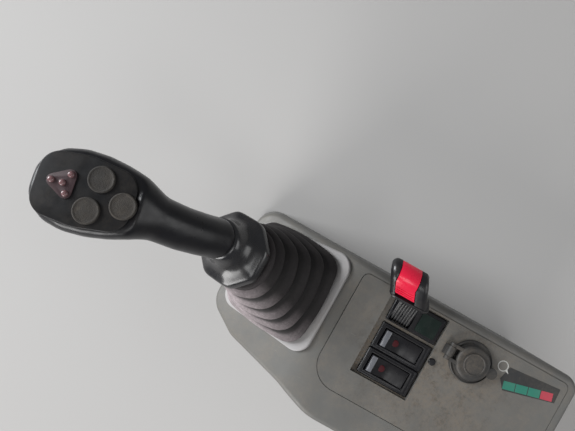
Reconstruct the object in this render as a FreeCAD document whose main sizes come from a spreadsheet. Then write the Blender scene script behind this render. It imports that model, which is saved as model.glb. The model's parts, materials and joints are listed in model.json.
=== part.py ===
import FreeCAD, Part
import math
import os
import re

import Sketcher

# Right-hand control console of a skid steer loader, in millimetres.
# +X is outboard, +Y the front of the machine, +Z up. The origin is the middle
# of the four mounting bolts, at the underside of the base plate.

Vector = FreeCAD.Vector
DOC = FreeCAD.newDocument("control_console")

# Driving dimensions

SIZES = (
    # base plate, mounting bolts and cable opening
    ("base_thick", 3),
    ("bolt_pitch_across", 96),
    ("bolt_pitch_along", 240),
    ("bolt_hole", 9),
    ("duct_half_wide", 38),
    ("duct_front", 8),
    ("duct_rear", 98),
    ("duct_corner", 12),
    # pod body: the outline is given at its top, and leans out on the way down
    ("pod_height", 130),
    ("wall", 3),
    ("shoulder", 6),
    ("top_right", 72),
    ("top_left", 75),
    ("top_front", 164),
    ("top_rear", 163),
    ("nose_left", 33),
    ("cheek_left", 52),
    ("cheek_along", 132),
    ("waist_left", 63),
    ("waist_along", 76),
    ("hip_along", 40),
    ("lean_side", 12),
    ("lean_outboard", 1.5),
    ("lean_end", 5),
    ("end_corner", 14),
    ("nose_corner", 22),
    ("flank_bend", 55),
    ("slope_start", 60),
    ("slope_angle", 25),
    ("crease_bend", 70),
    # switch cover, let into the top of the pod
    ("cover_left", 43),
    ("cover_outboard", 7.5),
    ("cover_before", 4),
    ("cover_behind", 10),
    ("cover_thick", 3),
    ("cover_gap", 0.5),
    ("cover_ledge", 5),
    ("cover_bend", 24),
    ("cover_corner", 6),
    ("recess_edge", 1.9),
    ("recess_inboard", 1.7),
    ("recess_outboard", 1.2),
    ("recess_before", 6),
    ("recess_behind", 1),
    ("recess_depth", 4),
    ("tray_side", 1.2),
    # switch units
    ("switch_along", -5),
    ("bezel_lip", 1.5),
    ("bezel_end", 2),
    ("bezel_gap", 0.3),
    ("bezel_high", 2.6),
    ("bezel_corner", 1.2),
    ("bezel_edge", 0.8),
    ("case_wide", 22.4),
    ("case_long", 46),
    ("case_deep", 30),
    ("case_side", 0.9),
    ("case_end", 1),
    ("well_deep", 13),
    ("blade_long", 8),
    ("blade_wide", 6.3),
    ("blade_thick", 0.8),
    ("fit", 0.3),
    ("rocker_clear", 1),
    ("rocker_skirt", 2),
    ("rocker_flat", 18),
    ("rocker_drop", 3.5),
    ("rocker_front_rise", 6.2),
    ("rocker_rear_rise", 4.6),
    ("rocker_valley", 2.4),
    ("rocker_belly", 6),
    ("axle", 3),
    ("axle_clear", 0.1),
    ("axle_seat", 0.6),
    ("bar_along", 16.5),
    ("bar_wide", 14),
    ("bar_deep", 3.4),
    ("lamp_along", 6.5),
    ("lamp", 6.4),
    ("lens_proud", 0.4),
    ("lens_sunk", 1),
    # locking paddle, seen beside the rockers
    ("lock_gap", 2.6),
    ("lock_long", 50),
    ("lock_wide", 25),
    ("lock_lip", 1.5),
    ("lock_end", 1),
    ("lock_well_long", 20),
    ("lock_well_wide", 20),
    ("lock_well_along", 7.5),
    ("lock_hinge", 5.4),
    ("lock_clear", 1),
    ("lock_drop", 4.5),
    ("lock_pivot_along", 6.2),
    ("lock_angle", 52),
    ("stalk_wide", 18.5),
    ("stalk_foot", 14.4),
    ("stalk_thick", 7),
    ("stalk_shift", 8.5),
    ("stalk_hub", 10),
    ("rib_count", 6),
    ("rib_high", 1),
    ("head_wide", 36),
    ("head_long", 28),
    ("head_thick", 19),
    ("head_round", 5),
    ("head_brow", 12),
    ("head_start", 25),
    ("head_angle", 30),
    ("lip_high", 3),
    ("lip_proud", 1),
    ("catch_wide", 19.5),
    ("catch_deep", 7),
    ("catch_travel", 2.5),
    ("catch_clear", 0.6),
    ("slot_shift", 3.8),
    ("slot_angle", 28),
    ("slot_bend", 16.3),
    ("slot_top_angle", 8),
    ("marker_long", 19),
    ("marker_wide", 18),
    # capped socket
    ("socket_inboard", 24.5),
    ("socket_behind", 33),
    ("socket_ring", 38.5),
    ("socket_ring_high", 3.2),
    ("socket_step", 33.5),
    ("socket_bore", 21),
    ("socket_tube", 26),
    ("socket_deep", 46),
    ("cap_disc", 31),
    ("cap_high", 5),
    ("cap_crown", 19),
    ("cap_crown_high", 1.6),
    ("cap_round", 3),
    ("cap_hinge_reach", 22.5),
    ("cap_hinge_high", 5.5),
    ("cap_knuckle", 6.5),
    ("cap_block_wide", 9),
    ("cap_tab", 10),
    ("cap_tab_reach", 19),
    ("plug_inboard", 41.5),
    ("plug_behind", 3.4),
    ("plug_head", 6.5),
    # joystick: its own frame lies on the slope, with its z axis square to it
    ("stick_across", 19.5),
    ("stick_along", 113),
    ("slope_hole", 72),
    ("collar_side", 101),
    ("collar_taper", 9),
    ("collar_thick", 4),
    ("collar_corner", 15),
    ("collar_mouth", 80),
    ("collar_edge", 1.5),
    ("housing_side", 84),
    ("housing_deep", 58),
    ("housing_corner", 8),
    ("housing_well", 64),
    ("housing_well_deep", 34),
    ("pivot_drop", 14),
    ("boss", 14),
    ("boss_gap", 21),
    ("boss_sunk", 4),
    ("connector_wide", 30),
    ("connector_long", 16),
    ("connector_high", 9),
    ("connector_wall", 2),
    ("ring_outer", 38),
    ("ring_inner", 27),
    ("ring_high", 8),
    ("trunnion", 6),
    ("trunnion_reach", 8),
    ("trunnion_end", 1),
    ("trunnion_clear", 0.05),
    ("hub", 17),
    ("hub_high", 11),
    ("stem", 12),
    ("stem_straight", 26),
    ("stem_bend", 60),
    ("stem_end_across", 11.5),
    ("stem_end_along", 19),
    ("stem_end_high", 89),
    # bellows boot
    ("boot_foot", 79),
    ("boot_foot_high", 5),
    ("boot_wall", 2.4),
    ("ridge_first", 87),
    ("ridge_last", 61),
    ("ridge_count", 5),
    ("ridge_first_high", 10),
    ("ridge_pitch", 14),
    ("fold_deep", 6),
    ("fold_back", 0.55),
    ("boot_corner_low", 15),
    ("boot_corner_high", 27),
    ("boot_top", 44),
    ("boot_back_across", -3),
    ("boot_lean_across", 9),
    ("boot_lean_along", 15),
    # octagonal clamp above the boot, and the grip
    ("clamp_low", 75.5),
    ("clamp_flats", 51),
    ("clamp_rim_high", 4),
    ("clamp_rim_step", 1.6),
    ("clamp_top_flats", 45),
    ("clamp_high", 26),
    ("clamp_cap_flats", 36),
    ("clamp_cap_high", 4),
    ("clamp_spigot", 38.6),
    ("clamp_spigot_long", 6),
    ("grip_neck", 31),
    ("grip_tilt", 63),
    ("grip_yaw", 14),
    ("grip_across", 6.5),
    ("grip_along", 67.4),
    ("grip_high", 184.4),
    ("grip_wide", 54),
    ("grip_thick", 29),
    ("grip_round", 13.5),
    ("face_rise", 10.6),
    ("face_thick", 1.6),
    ("face_inset", 4.5),
    ("face_back", 26),
    ("face_front", 35),
    ("face_corner", 13),
    ("face_flank", 30),
    ("face_widest", 6),
    ("button", 16.8),
    ("button_high", 1.6),
    ("cluster_across", 1.8),
    ("cluster_side", 24),
    ("cluster_high", 0.9),
    ("cluster_corner", 4),
    ("cluster_along", 17.8),
    ("nub", 3),
    ("nub_high", 1.5),
)

SHEET = DOC.addObject("Spreadsheet::Sheet", "sizes")
for row, (alias, value) in enumerate(SIZES, 1):
    SHEET.set(f"A{row}", alias)
    SHEET.set(f"B{row}", str(value))
    SHEET.setAlias(f"B{row}", alias)
# Sizes that follow from the others: the switches are set out inboard from the cover's
# outboard edge, and the socket and the plug stand behind their recess
DERIVED = (
    ("cover_right", "top_right - cover_outboard"),
    ("cover_front", "slope_start - cover_before"),
    ("cover_rear", "top_rear - cover_behind"),
    ("bezel_wide", "case_wide + 2 * bezel_lip"),
    ("bezel_long", "case_long + 2 * bezel_end"),
    ("well_wide", "case_wide - 2 * case_side"),
    ("well_long", "case_long - 2 * case_end"),
    ("recess_right", "cover_right - recess_edge"),
    ("lock_centre", "recess_right - recess_outboard - lock_wide / 2"),
    ("outer_centre", "lock_centre - lock_wide / 2 - lock_gap - bezel_wide / 2"),
    ("inner_centre", "outer_centre - bezel_wide - bezel_gap"),
    ("recess_left", "bezel_wide / 2 + recess_inboard - inner_centre"),
    ("recess_front", "switch_along + bezel_long / 2 + recess_before"),
    ("recess_rear", "bezel_long / 2 + recess_behind - switch_along"),
    ("lock_pivot", "lock_centre - lock_hinge"),
    ("socket_across", "cover_right - socket_inboard"),
    ("socket_along", "-recess_rear - socket_behind"),
    ("plug_across", "cover_right - plug_inboard"),
    ("plug_along", "-recess_rear - plug_behind"),
)
for row, (alias, formula) in enumerate(DERIVED, len(SIZES) + 1):
    SHEET.set(f"A{row}", alias)
    SHEET.set(f"B{row}", "=" + formula)
    SHEET.setAlias(f"B{row}", alias)
DOC.recompute()
ALIASES = {alias for alias, value in SIZES + DERIVED}


# Helpers: sizes and expressions

def size(alias):
    """The value of one cell of the sheet."""
    return float(SHEET.get(alias))


def linked(text):
    """An expression in which each alias points at its cell."""
    return re.sub(r"[a-z_]+", lambda word: "sizes." + word.group()
                  if word.group() in ALIASES else word.group(), str(text))


def number(text):
    """The present value of an expression on the sheet's aliases."""
    found = SHEET.evalExpression(linked(text))
    return float(found.Value if hasattr(found, "Value") else found)


# Helpers: PartDesign bodies with driven sketches

def new_body(label):
    body = DOC.addObject("PartDesign::Body", label)
    body.Label = label
    return body


def sketch(body, level="0", role="XY_Plane"):
    """An empty sketch, parallel to one of the body's own planes."""
    outline = body.newObject("Sketcher::SketchObject", "outline")
    plane = next(item for item in body.Origin.OriginFeatures if item.Role == role)
    outline.AttachmentSupport = [(plane, "")]
    outline.MapMode = "FlatFace"
    outline.setExpression("AttachmentOffset.Base.z", linked(level))
    return outline


def drive(outline, kind, geometry, point, text):
    """Tie one coordinate of a sketch point to an expression."""
    index = outline.addConstraint(
        Sketcher.Constraint(kind, -1, 1, geometry, point, number(text)))
    outline.setExpression(f"Constraints[{index}]", linked(text))


def loop(outline, corners):
    """A closed polygon whose corners are pairs of expressions."""
    first = outline.GeometryCount
    points = [Vector(number(across), number(along), 0) for across, along in corners]
    for start, end in zip(points, points[1:] + points[:1]):
        outline.addGeometry(Part.LineSegment(start, end), False)
    for index, (across, along) in enumerate(corners):
        line = first + index
        following = first + (index + 1) % len(corners)
        outline.addConstraint(Sketcher.Constraint("Coincident", line, 2, following, 1))
        drive(outline, "DistanceX", line, 1, across)
        drive(outline, "DistanceY", line, 1, along)
    return corners


def box_loop(outline, across, along, wide, long):
    """A rectangle about a centre."""
    return loop(outline, [(f"{across} {a} ({wide}) / 2", f"{along} {b} ({long}) / 2")
                          for a, b in (("-", "-"), ("+", "-"), ("+", "+"), ("-", "+"))])


def circle(outline, across, along, diameter):
    index = outline.addGeometry(Part.Circle(
        Vector(number(across), number(along), 0), Vector(0, 0, 1), number(diameter) / 2))
    drive(outline, "DistanceX", index, 3, across)
    drive(outline, "DistanceY", index, 3, along)
    bound = outline.addConstraint(Sketcher.Constraint("Diameter", index, number(diameter)))
    outline.setExpression(f"Constraints[{bound}]", linked(diameter))


def pad(body, profile, length, middle=False, back=False):
    feature = body.newObject("PartDesign::Pad", "pad")
    feature.Profile = profile
    feature.setExpression("Length", linked(length))
    feature.Reversed = back
    if middle:
        feature.SideType = "Symmetric"
    return feature


def pocket(body, profile, depth, middle=False, back=False):
    """A cut that goes down from its sketch, or up where back is set."""
    feature = body.newObject("PartDesign::Pocket", "pocket")
    feature.Profile = profile
    feature.setExpression("Length", linked(depth))
    feature.Reversed = back
    if middle:
        feature.SideType = "Symmetric"
    return feature


def soften(body, radius, chosen, kind="Fillet"):
    """Round or bevel the edges of the tip for which chosen(edge) is true."""
    DOC.recompute()
    base = body.Tip
    names = [f"Edge{index}" for index, edge in enumerate(base.Shape.Edges, 1)
             if chosen(edge)]
    feature = body.newObject("PartDesign::" + kind, kind.lower())
    feature.Base = (base, names)
    feature.setExpression("Radius" if kind == "Fillet" else "Size", linked(radius))
    return feature


def upright(corners):
    """A test for the vertical edges that stand on the given corners."""
    places = [(number(across), number(along)) for across, along in corners]

    def test(edge):
        middle = edge.CenterOfMass
        box = edge.BoundBox
        return box.ZLength > 0.1 and box.XLength + box.YLength < 0.01 and any(
            abs(middle.x - across) + abs(middle.y - along) < 0.05
            for across, along in places)
    return test


def at_level(level):
    """A test for the edges that lie flat at a height."""
    height = number(level)
    return lambda edge: (edge.BoundBox.ZLength < 0.01
                         and abs(edge.BoundBox.ZMin - height) < 0.02)


# Helpers: shapes made with Part's own functions

def feature(label, shape, placement=None):
    """A document object that holds a finished shape."""
    item = DOC.addObject("Part::Feature", label)
    item.Label = label
    item.Shape = shape
    if placement:
        item.Placement = placement
    return item


def rounded_loop(points, radii):
    """A closed wire of lines and tangent arcs round the given points."""
    starts, ends, edges = [], [], []
    for index, (corner, radius) in enumerate(zip(points, radii)):
        back = (points[index - 1] - corner).normalize()
        ahead = (points[(index + 1) % len(points)] - corner).normalize()
        half = back.getAngle(ahead) / 2
        reach = radius / math.tan(half)
        middle = (back + ahead).normalize() * (radius / math.sin(half) - radius)
        starts.append(corner + back * reach)
        ends.append(corner + ahead * reach)
        edges.append(Part.Arc(starts[-1], corner + middle, ends[-1]).toShape())
    closed = []
    for index, arc in enumerate(edges):
        following = starts[(index + 1) % len(points)]
        closed.append(arc)
        if (ends[index] - following).Length > 1e-5:
            closed.append(Part.LineSegment(ends[index], following).toShape())
    return Part.Wire(closed)


def section(centre, forward, side, wide, deep, radius):
    """A rounded rectangle square to forward, with its width along side."""
    forward = Vector(forward).normalize()
    across = (side - forward * side.dot(forward)).normalize()
    upward = forward.cross(across)
    limit = min(wide, deep) / 2 - 0.2
    corners = [centre + across * (wide / 2 * a) + upward * (deep / 2 * b)
               for a, b in ((-1, -1), (1, -1), (1, 1), (-1, 1))]
    return rounded_loop(corners, [min(radius, limit)] * 4)


def regular(centre, flats, sides=8):
    """A level regular polygon, given across its flats."""
    radius = flats / 2 / math.cos(math.pi / sides)
    turn = 2 * math.pi / sides
    points = [centre + Vector(math.cos(turn * (n + 0.5)) * radius,
                              math.sin(turn * (n + 0.5)) * radius, 0)
              for n in range(sides)]
    return Part.makePolygon(points + points[:1])


def ruled(wires):
    return Part.makeLoft(wires, True, True)


def block(x_low, x_high, y_low, y_high, z_low, z_high):
    return Part.makeBox(x_high - x_low, y_high - y_low, z_high - z_low,
                        Vector(x_low, y_low, z_low))


# Base plate

# The pod's outline at its top: across, along, which way it leans, corner radius
OUTLINE = (
    ("top_right", "-top_rear", "lean_outboard", "-lean_end", "end_corner"),
    ("top_right", "top_front", "lean_outboard", "lean_end", "nose_corner"),
    ("-nose_left", "top_front", "-lean_side", "lean_end", "nose_corner"),
    ("-cheek_left", "cheek_along", "-lean_side", "lean_end", "nose_corner"),
    ("-waist_left", "waist_along", "-lean_side", "0", "flank_bend"),
    ("-top_left", "hip_along", "-lean_side", "0", "flank_bend"),
    ("-top_left", "-top_rear", "-lean_side", "-lean_end", "end_corner"),
)


def lower_outline(level):
    """The pod's outline where it meets the base plate, as a wire at a level."""
    return rounded_loop([Vector(number(f"{across} + {out}"),
                                number(f"{along} + {onward}"), level)
                         for across, along, out, onward, radius in OUTLINE],
                        [size(radius) for *place, radius in OUTLINE])


def make_base_plate():
    rise = Vector(0, 0, size("base_thick"))
    plate = Part.Face(lower_outline(0)).extrude(rise)
    across, along = size("bolt_pitch_across") / 2, size("bolt_pitch_along") / 2
    for x in (-across, across):
        for y in (-along, along):
            plate = plate.cut(Part.makeCylinder(size("bolt_hole") / 2, rise.z,
                                                Vector(x, y, 0)))
    half, front, rear = size("duct_half_wide"), size("duct_front"), size("duct_rear")
    duct = rounded_loop([Vector(-half, -rear, 0), Vector(half, -rear, 0),
                         Vector(half, front, 0), Vector(-half, front, 0)],
                        [size("duct_corner")] * 4)
    feature("base_plate", plate.cut(Part.Face(duct).extrude(rise)))


make_base_plate()


# Joystick frame on the sloping front of the pod

STICK = FreeCAD.Placement(
    Vector(size("stick_across"), size("stick_along"), size("pod_height")
           - (size("stick_along") - size("slope_start"))
           * math.tan(math.radians(size("slope_angle")))),
    FreeCAD.Rotation(Vector(1, 0, 0), -size("slope_angle")))


# Pod body

def pod_solid(inset):
    """The pod's outer form, or the hollow inside it where inset is the wall."""
    top = size("pod_height") - inset
    floor = size("base_thick")
    upper = rounded_loop([Vector(number(across), number(along), top)
                          for across, along, *rest in OUTLINE],
                         [size(radius) for *place, radius in OUTLINE])
    lower = lower_outline(floor)
    if inset:
        upper = upper.makeOffset2D(-inset)
        lower = lower.makeOffset2D(-inset)
    solid = ruled([lower, upper])
    angle = math.radians(size("slope_angle"))
    start = size("slope_start") - inset * math.tan(angle / 2)
    run = 2 * size("top_front")
    side = 2 * (size("top_left") + size("lean_side"))
    wedge = Part.Face(Part.makePolygon([
        Vector(-side, start, top), Vector(-side, start + run, top),
        Vector(-side, start + run, top - run * math.tan(angle)),
        Vector(-side, start, top)])).extrude(Vector(2 * side, 0, 0))
    solid = solid.cut(wedge)
    crease = [edge for edge in solid.Edges
              if abs(edge.CenterOfMass.y - start) + abs(edge.CenterOfMass.z - top) < 0.1]
    solid = solid.makeFillet(size("crease_bend"), crease)
    rim = [edge for edge in solid.Edges if edge.BoundBox.ZMin > floor + size("shoulder")]
    return solid.makeFillet(size("shoulder") - inset, rim)


def cover_wire(grow, level):
    """The outline of the switch cover, larger or smaller by grow."""
    right = size("cover_right") + grow
    left = size("cover_left") + grow
    front = size("cover_front") + grow
    rear = size("cover_rear") + grow
    corner = size("cover_corner") + grow
    return rounded_loop(
        [Vector(right, -rear, level), Vector(right, front, level),
         Vector(-left, front, level), Vector(-left, -rear, level)],
        [corner, corner, size("cover_bend") + grow, corner])


def make_pod_body():
    top = size("pod_height")
    shell = pod_solid(0).cut(pod_solid(size("wall")))
    under = top - size("cover_thick")
    # a ledge under the cover, let into the top and carried out under its edge
    ledge = Part.Face(cover_wire(size("cover_ledge"), under - size("wall"))).extrude(
        Vector(0, 0, size("wall")))
    shell = shell.fuse(ledge.common(pod_solid(0)))
    shell = shell.cut(Part.Face(cover_wire(size("cover_gap"), under)).extrude(
        Vector(0, 0, size("cover_thick") + 1)))
    shell = shell.cut(Part.Face(cover_wire(-size("cover_ledge"), under - size("wall") - 1))
                      .extrude(Vector(0, 0, size("wall") + 2)))
    # room for the cover's tray, which reaches over the ledge
    spare = size("cover_thick") + size("cover_gap")
    shell = shell.cut(block(
        -size("recess_left") - spare, size("recess_right") + size("tray_side")
        + size("cover_gap"), -size("recess_rear") - spare,
        size("recess_front") + spare, under - size("wall") - 1, under + 1))
    hole = Part.makeCylinder(size("slope_hole") / 2, 4 * size("wall"),
                             Vector(0, 0, -2 * size("wall")))
    hole.Placement = STICK
    feature("pod_body", shell.cut(hole).removeSplitter())


make_pod_body()


# Switch cover with its recess

# Switch units: name, centre across, width, length, case width and length
BEZEL_TOP = "pod_height - recess_depth + bezel_high"
RECESS_FLOOR = "pod_height - recess_depth"
UNITS = (
    ("inner", "inner_centre", "bezel_wide", "bezel_long", "case_wide", "case_long"),
    ("outer", "outer_centre", "bezel_wide", "bezel_long", "case_wide", "case_long"),
    ("lock", "lock_centre", "lock_wide", "lock_long",
     "lock_wide - 2 * lock_lip", "lock_long - 2 * lock_end"),
)


def make_switch_cover():
    body = new_body("switch_cover")
    profile = sketch(body, "pod_height - cover_thick")
    outer = loop(profile, [("cover_right", "-cover_rear"), ("cover_right", "cover_front"),
                           ("-cover_left", "cover_front"), ("-cover_left", "-cover_rear")])
    pad(body, profile, "cover_thick")
    soften(body, "cover_corner", upright([outer[0], outer[1], outer[3]]))
    soften(body, "cover_bend", upright([outer[2]]))
    tray = sketch(body, "pod_height - recess_depth - cover_thick")
    loop(tray, [("recess_right + tray_side", "-recess_rear - cover_thick"),
                ("recess_right + tray_side", "recess_front + cover_thick"),
                ("-recess_left - cover_thick", "recess_front + cover_thick"),
                ("-recess_left - cover_thick", "-recess_rear - cover_thick")])
    pad(body, tray, "recess_depth")
    well = sketch(body, "pod_height")
    floor = loop(well, [("recess_right", "-recess_rear"), ("recess_right", "recess_front"),
                        ("-recess_left", "recess_front"),
                        ("-recess_left", "-recess_rear")])
    pocket(body, well, "recess_depth")
    soften(body, "cover_gap", upright(floor))
    holes = sketch(body, "pod_height")
    for name, across, wide, long, case_wide, case_long in UNITS:
        box_loop(holes, f"{across}", "switch_along", f"{case_wide} + 2 * fit",
                 f"{case_long} + 2 * fit")
    circle(holes, "socket_across", "socket_along", "socket_tube + 2 * fit")
    circle(holes, "plug_across", "plug_along", "plug_head - 2")
    pocket(body, holes, "recess_depth + 2 * cover_thick")


make_switch_cover()


# Switch bodies: a bezel with the case that snaps into the cover below it

def make_switch_body(name, across, wide, long, case_wide, case_long, well):
    body = new_body(f"{name}_switch_body")
    case = sketch(body, f"{RECESS_FLOOR} - case_deep")
    stem = box_loop(case, across, "switch_along", case_wide, case_long)
    pad(body, case, "case_deep")
    rim = sketch(body, RECESS_FLOOR)
    flange = box_loop(rim, across, "switch_along", wide, long)
    pad(body, rim, "bezel_high")
    soften(body, "bezel_corner", upright(flange))
    soften(body, "bezel_edge", at_level(BEZEL_TOP), "Chamfer")
    mouth = sketch(body, BEZEL_TOP)
    well_across, well_along, well_wide, well_long = well
    box_loop(mouth, well_across, well_along, well_wide, well_long)
    pocket(body, mouth, "well_deep")
    blades = sketch(body, f"{RECESS_FLOOR} - case_deep")
    for place in (-0.3, 0, 0.3):
        box_loop(blades, across, f"switch_along + {place} * ({case_long})",
                 "blade_wide", "blade_thick")
    pad(body, blades, "blade_long", back=True)
    return body


for name, across, wide, long, case_wide, case_long in UNITS[:2]:
    unit = make_switch_body(name, across, wide, long, case_wide, case_long,
                            (across, "switch_along", "well_wide", "well_long"))
    bore = sketch(unit, "0", "YZ_Plane")
    circle(bore, "switch_along", f"{BEZEL_TOP} - rocker_drop", "axle + axle_clear")
    pocket(unit, bore, "2 * (recess_left + recess_right)", middle=True)
lock_unit = make_switch_body(*UNITS[2], (
    "lock_pivot + lock_well_wide / 2 - stalk_hub / 2 - lock_clear", "lock_well_along",
    "lock_well_wide", "lock_well_long"))
bore = sketch(lock_unit, "0", "XZ_Plane")
circle(bore, "lock_pivot", f"{BEZEL_TOP} - lock_drop", "axle + axle_clear")
pocket(lock_unit, bore, "2 * (lock_well_along + lock_well_long / 2 + 2 * axle_seat)",
       middle=True)


# Rockers, each with a pale bar lens and a small lamp

def rocker_surface(along):
    """Height of the rocker's front half above its axle, at a place along it."""
    return (f"rocker_valley + (rocker_front_rise - rocker_valley)"
            f" * ({along}) / (well_long / 2 - rocker_clear)")


def make_rocker(name, across):
    axle_high = f"{BEZEL_TOP} - rocker_drop"
    end = "(well_long / 2 - rocker_clear)"
    body = new_body(f"{name}_rocker")
    side = sketch(body, f"{across} - (well_wide / 2 - fit)", "YZ_Plane")
    loop(side, [(f"switch_along - {end}", f"{axle_high} - rocker_skirt"),
                ("switch_along - rocker_flat / 2", f"{axle_high} - rocker_belly"),
                ("switch_along + rocker_flat / 2", f"{axle_high} - rocker_belly"),
                (f"switch_along + {end}", f"{axle_high} - rocker_skirt"),
                (f"switch_along + {end}", f"{axle_high} + rocker_front_rise"),
                ("switch_along", f"{axle_high} + rocker_valley"),
                (f"switch_along - {end}", f"{axle_high} + rocker_rear_rise")])
    pad(body, side, "well_wide - 2 * fit")
    pin = sketch(body, f"{across} - (well_wide / 2 + axle_seat)", "YZ_Plane")
    circle(pin, "switch_along", axle_high, "axle")
    pad(body, pin, "well_wide + 2 * axle_seat")
    # seats for the bar lens and the lamp
    bar = sketch(body, f"{across} - bar_wide / 2", "YZ_Plane")
    loop(bar, lens_profile("bar_along", "bar_deep", "3 * lens_sunk"))
    pocket(body, bar, "bar_wide", back=True)
    lamp = sketch(body, f"{axle_high} + {rocker_surface('lamp_along')} - lens_sunk")
    circle(lamp, across, "switch_along + lamp_along", "lamp")
    pocket(body, lamp, "3 * lens_sunk", back=True)

    lens = new_body(f"{name}_bar_lens")
    profile = sketch(lens, f"{across} - bar_wide / 2", "YZ_Plane")
    loop(profile, lens_profile("bar_along", "bar_deep", "lens_proud"))
    pad(lens, profile, "bar_wide")

    jewel = new_body(f"{name}_lamp")
    profile = sketch(jewel, f"{axle_high} + {rocker_surface('lamp_along')} - lens_sunk")
    circle(profile, across, "switch_along + lamp_along", "lamp")
    pad(jewel, profile, "lens_sunk + lens_proud")
    soften(jewel, "lens_proud",
           at_level(f"{axle_high} + {rocker_surface('lamp_along')} + lens_proud"))


def lens_profile(along, deep, proud):
    """A lens let into the rocker's front half, seen from the side."""
    axle_high = f"{BEZEL_TOP} - rocker_drop"
    low, high = f"({along} - {deep} / 2)", f"({along} + {deep} / 2)"
    return [(f"switch_along + {place}",
             f"{axle_high} + {rocker_surface(place)} {side}")
            for place, side in ((low, "- lens_sunk"), (high, "- lens_sunk"),
                                (high, f"+ {proud}"), (low, f"+ {proud}"))]


for name, across, *rest in UNITS[:2]:
    make_rocker(name, across)


# Locking paddle: a ribbed stalk that leans outboard, with a capped head

PADDLE = FreeCAD.Placement(
    Vector(size("lock_pivot"), size("lock_pivot_along"),
           number(f"{BEZEL_TOP} - lock_drop")),
    FreeCAD.Rotation(Vector(0, 1, 0), size("lock_angle")))


def slanted(x_low, x_high, half_wide, z_low, z_high):
    """A block of the paddle's head, which leans to the front as it rises."""
    slant = math.tan(math.radians(size("head_angle")))
    middle = size("stalk_shift") + (z_low - size("head_start")) * slant
    foot = Part.makePolygon([Vector(x, middle + side * half_wide, z_low) for x, side in (
        (x_low, -1), (x_high, -1), (x_high, 1), (x_low, 1), (x_low, -1))])
    rise = z_high - z_low
    return Part.Face(foot).extrude(Vector(0, rise * slant, rise))


def head_solid():
    """The head of the paddle with its edges rounded, before its slot is cut."""
    low, long = size("head_start"), size("head_long")
    half_thick = size("head_thick") / 2
    head = slanted(-half_thick, half_thick, size("head_wide") / 2, low, low + long)
    brow = [edge for edge in head.Edges if edge.BoundBox.ZMin > low + long / 2
            and edge.BoundBox.XMax < 0]
    head = head.makeFillet(size("head_brow"), brow)
    return head.makeFillet(size("head_round"), [
        edge for edge in head.Edges if edge.BoundBox.ZMax > low + 0.1
        and edge.BoundBox.YLength < size("head_wide") - 1 or
        edge.BoundBox.XMin > half_thick - 0.1 and edge.BoundBox.ZMin > low + long / 2])


def slot_slab(half_wide, x_low, x_high, z_low):
    """A slab as wide as the catch's slot, which leans to the front up to a bend."""
    start = size("head_start")
    bend = start + size("slot_bend")
    top = start + 2 * size("head_long")
    lower, upper = (math.tan(math.radians(size(alias)))
                    for alias in ("slot_angle", "slot_top_angle"))
    foot = size("stalk_shift") + size("slot_shift")
    line = [(foot + (min(z, bend) - start) * lower + max(0, z - bend) * upper, z)
            for z in ([z_low, bend, top] if z_low < bend else [z_low, top])]
    points = [Vector(x_low, y - half_wide, z) for y, z in line]
    points += [Vector(x_low, y + half_wide, z) for y, z in reversed(line)]
    return Part.Face(Part.makePolygon(points + points[:1])).extrude(
        Vector(x_high - x_low, 0, 0))


def make_paddle():
    wide, thick = size("stalk_wide"), size("stalk_thick")
    foot_wide = size("stalk_foot")
    shift, start = size("stalk_shift"), size("head_start")
    hub = Part.makeCylinder(size("stalk_hub") / 2, foot_wide,
                            Vector(0, -foot_wide / 2, 0), Vector(0, 1, 0))
    # the pin turns in the walls of the switch body
    low, high = (size("lock_well_along") - size("lock_pivot_along")
                 + side * (size("lock_well_long") / 2 + size("axle_seat"))
                 for side in (-1, 1))
    pin = Part.makeCylinder(size("axle") / 2, high - low, Vector(0, low, 0),
                            Vector(0, 1, 0))
    upward, side = Vector(0, 0, 1), Vector(0, 1, 0)
    share = start / (start + size("head_long") / 2)
    stalk = ruled([section(Vector(0, 0, 0), upward, side, foot_wide, thick, 1.5),
                   section(Vector(0, shift * share, start), upward, side,
                           wide, thick, 1.5)])
    stalk = stalk.fuse([hub, pin])
    # ribs up the face that the operator sees
    count = int(size("rib_count"))
    pitch = (foot_wide - 1.5) / count
    for index in range(count):
        place = pitch * (index + 0.5 - count / 2)
        foot = Vector(-thick / 2, place, size("stalk_hub") / 2)
        top = Vector(-thick / 2, place * wide / foot_wide + shift * share, start - 0.6)
        stalk = stalk.fuse(ruled([
            section(foot, upward, side, pitch * 0.5, 2 * size("rib_high"), 0.3),
            section(top, upward, side, pitch * 0.5, 2 * size("rib_high"), 0.3)]))
    feature("lock_stalk", stalk.removeSplitter(), PADDLE)

    half_wide, half_thick = size("head_wide") / 2, size("head_thick") / 2
    proud, lip = size("lip_proud"), size("lip_high")
    rim = block(-half_thick - proud, half_thick + proud, shift - half_wide - proud,
                shift + half_wide + proud, start, start + lip)
    rim = rim.makeFillet(size("head_round") + proud, [
        edge for edge in rim.Edges if edge.BoundBox.ZLength > lip - 0.1])
    rim = rim.makeFillet(lip * 0.3, [edge for edge in rim.Edges
                                     if edge.BoundBox.ZLength < 0.01])
    solid = head_solid()
    # the slot runs up the face and on over the top
    half_catch = size("catch_wide") / 2
    deep = size("catch_deep")
    face, far = -half_thick + deep, 2 * half_thick
    over = start + size("head_long") - deep
    slot = slot_slab(half_catch, -far, face, start + lip).fuse(
        slot_slab(half_catch, -far, far, over))
    feature("lock_head", solid.fuse(rim).cut(slot).removeSplitter(), PADDLE)

    half_catch -= size("catch_clear")
    travel = size("catch_travel") + size("fit")
    reach = slot_slab(half_catch, -far, face, start + lip + travel).fuse(
        slot_slab(half_catch, -far, far, over + travel))
    catch = solid.common(reach)
    for index in range(3):
        level = start + lip + travel + 1.6 + 2 * index
        catch = catch.cut(slot_slab(half_catch - 1, -far, -half_thick + 0.6, level).cut(
            slot_slab(half_catch, -far, 0, level + 0.9)))
    feature("lock_catch", catch.removeSplitter(), PADDLE)


make_paddle()


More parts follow.
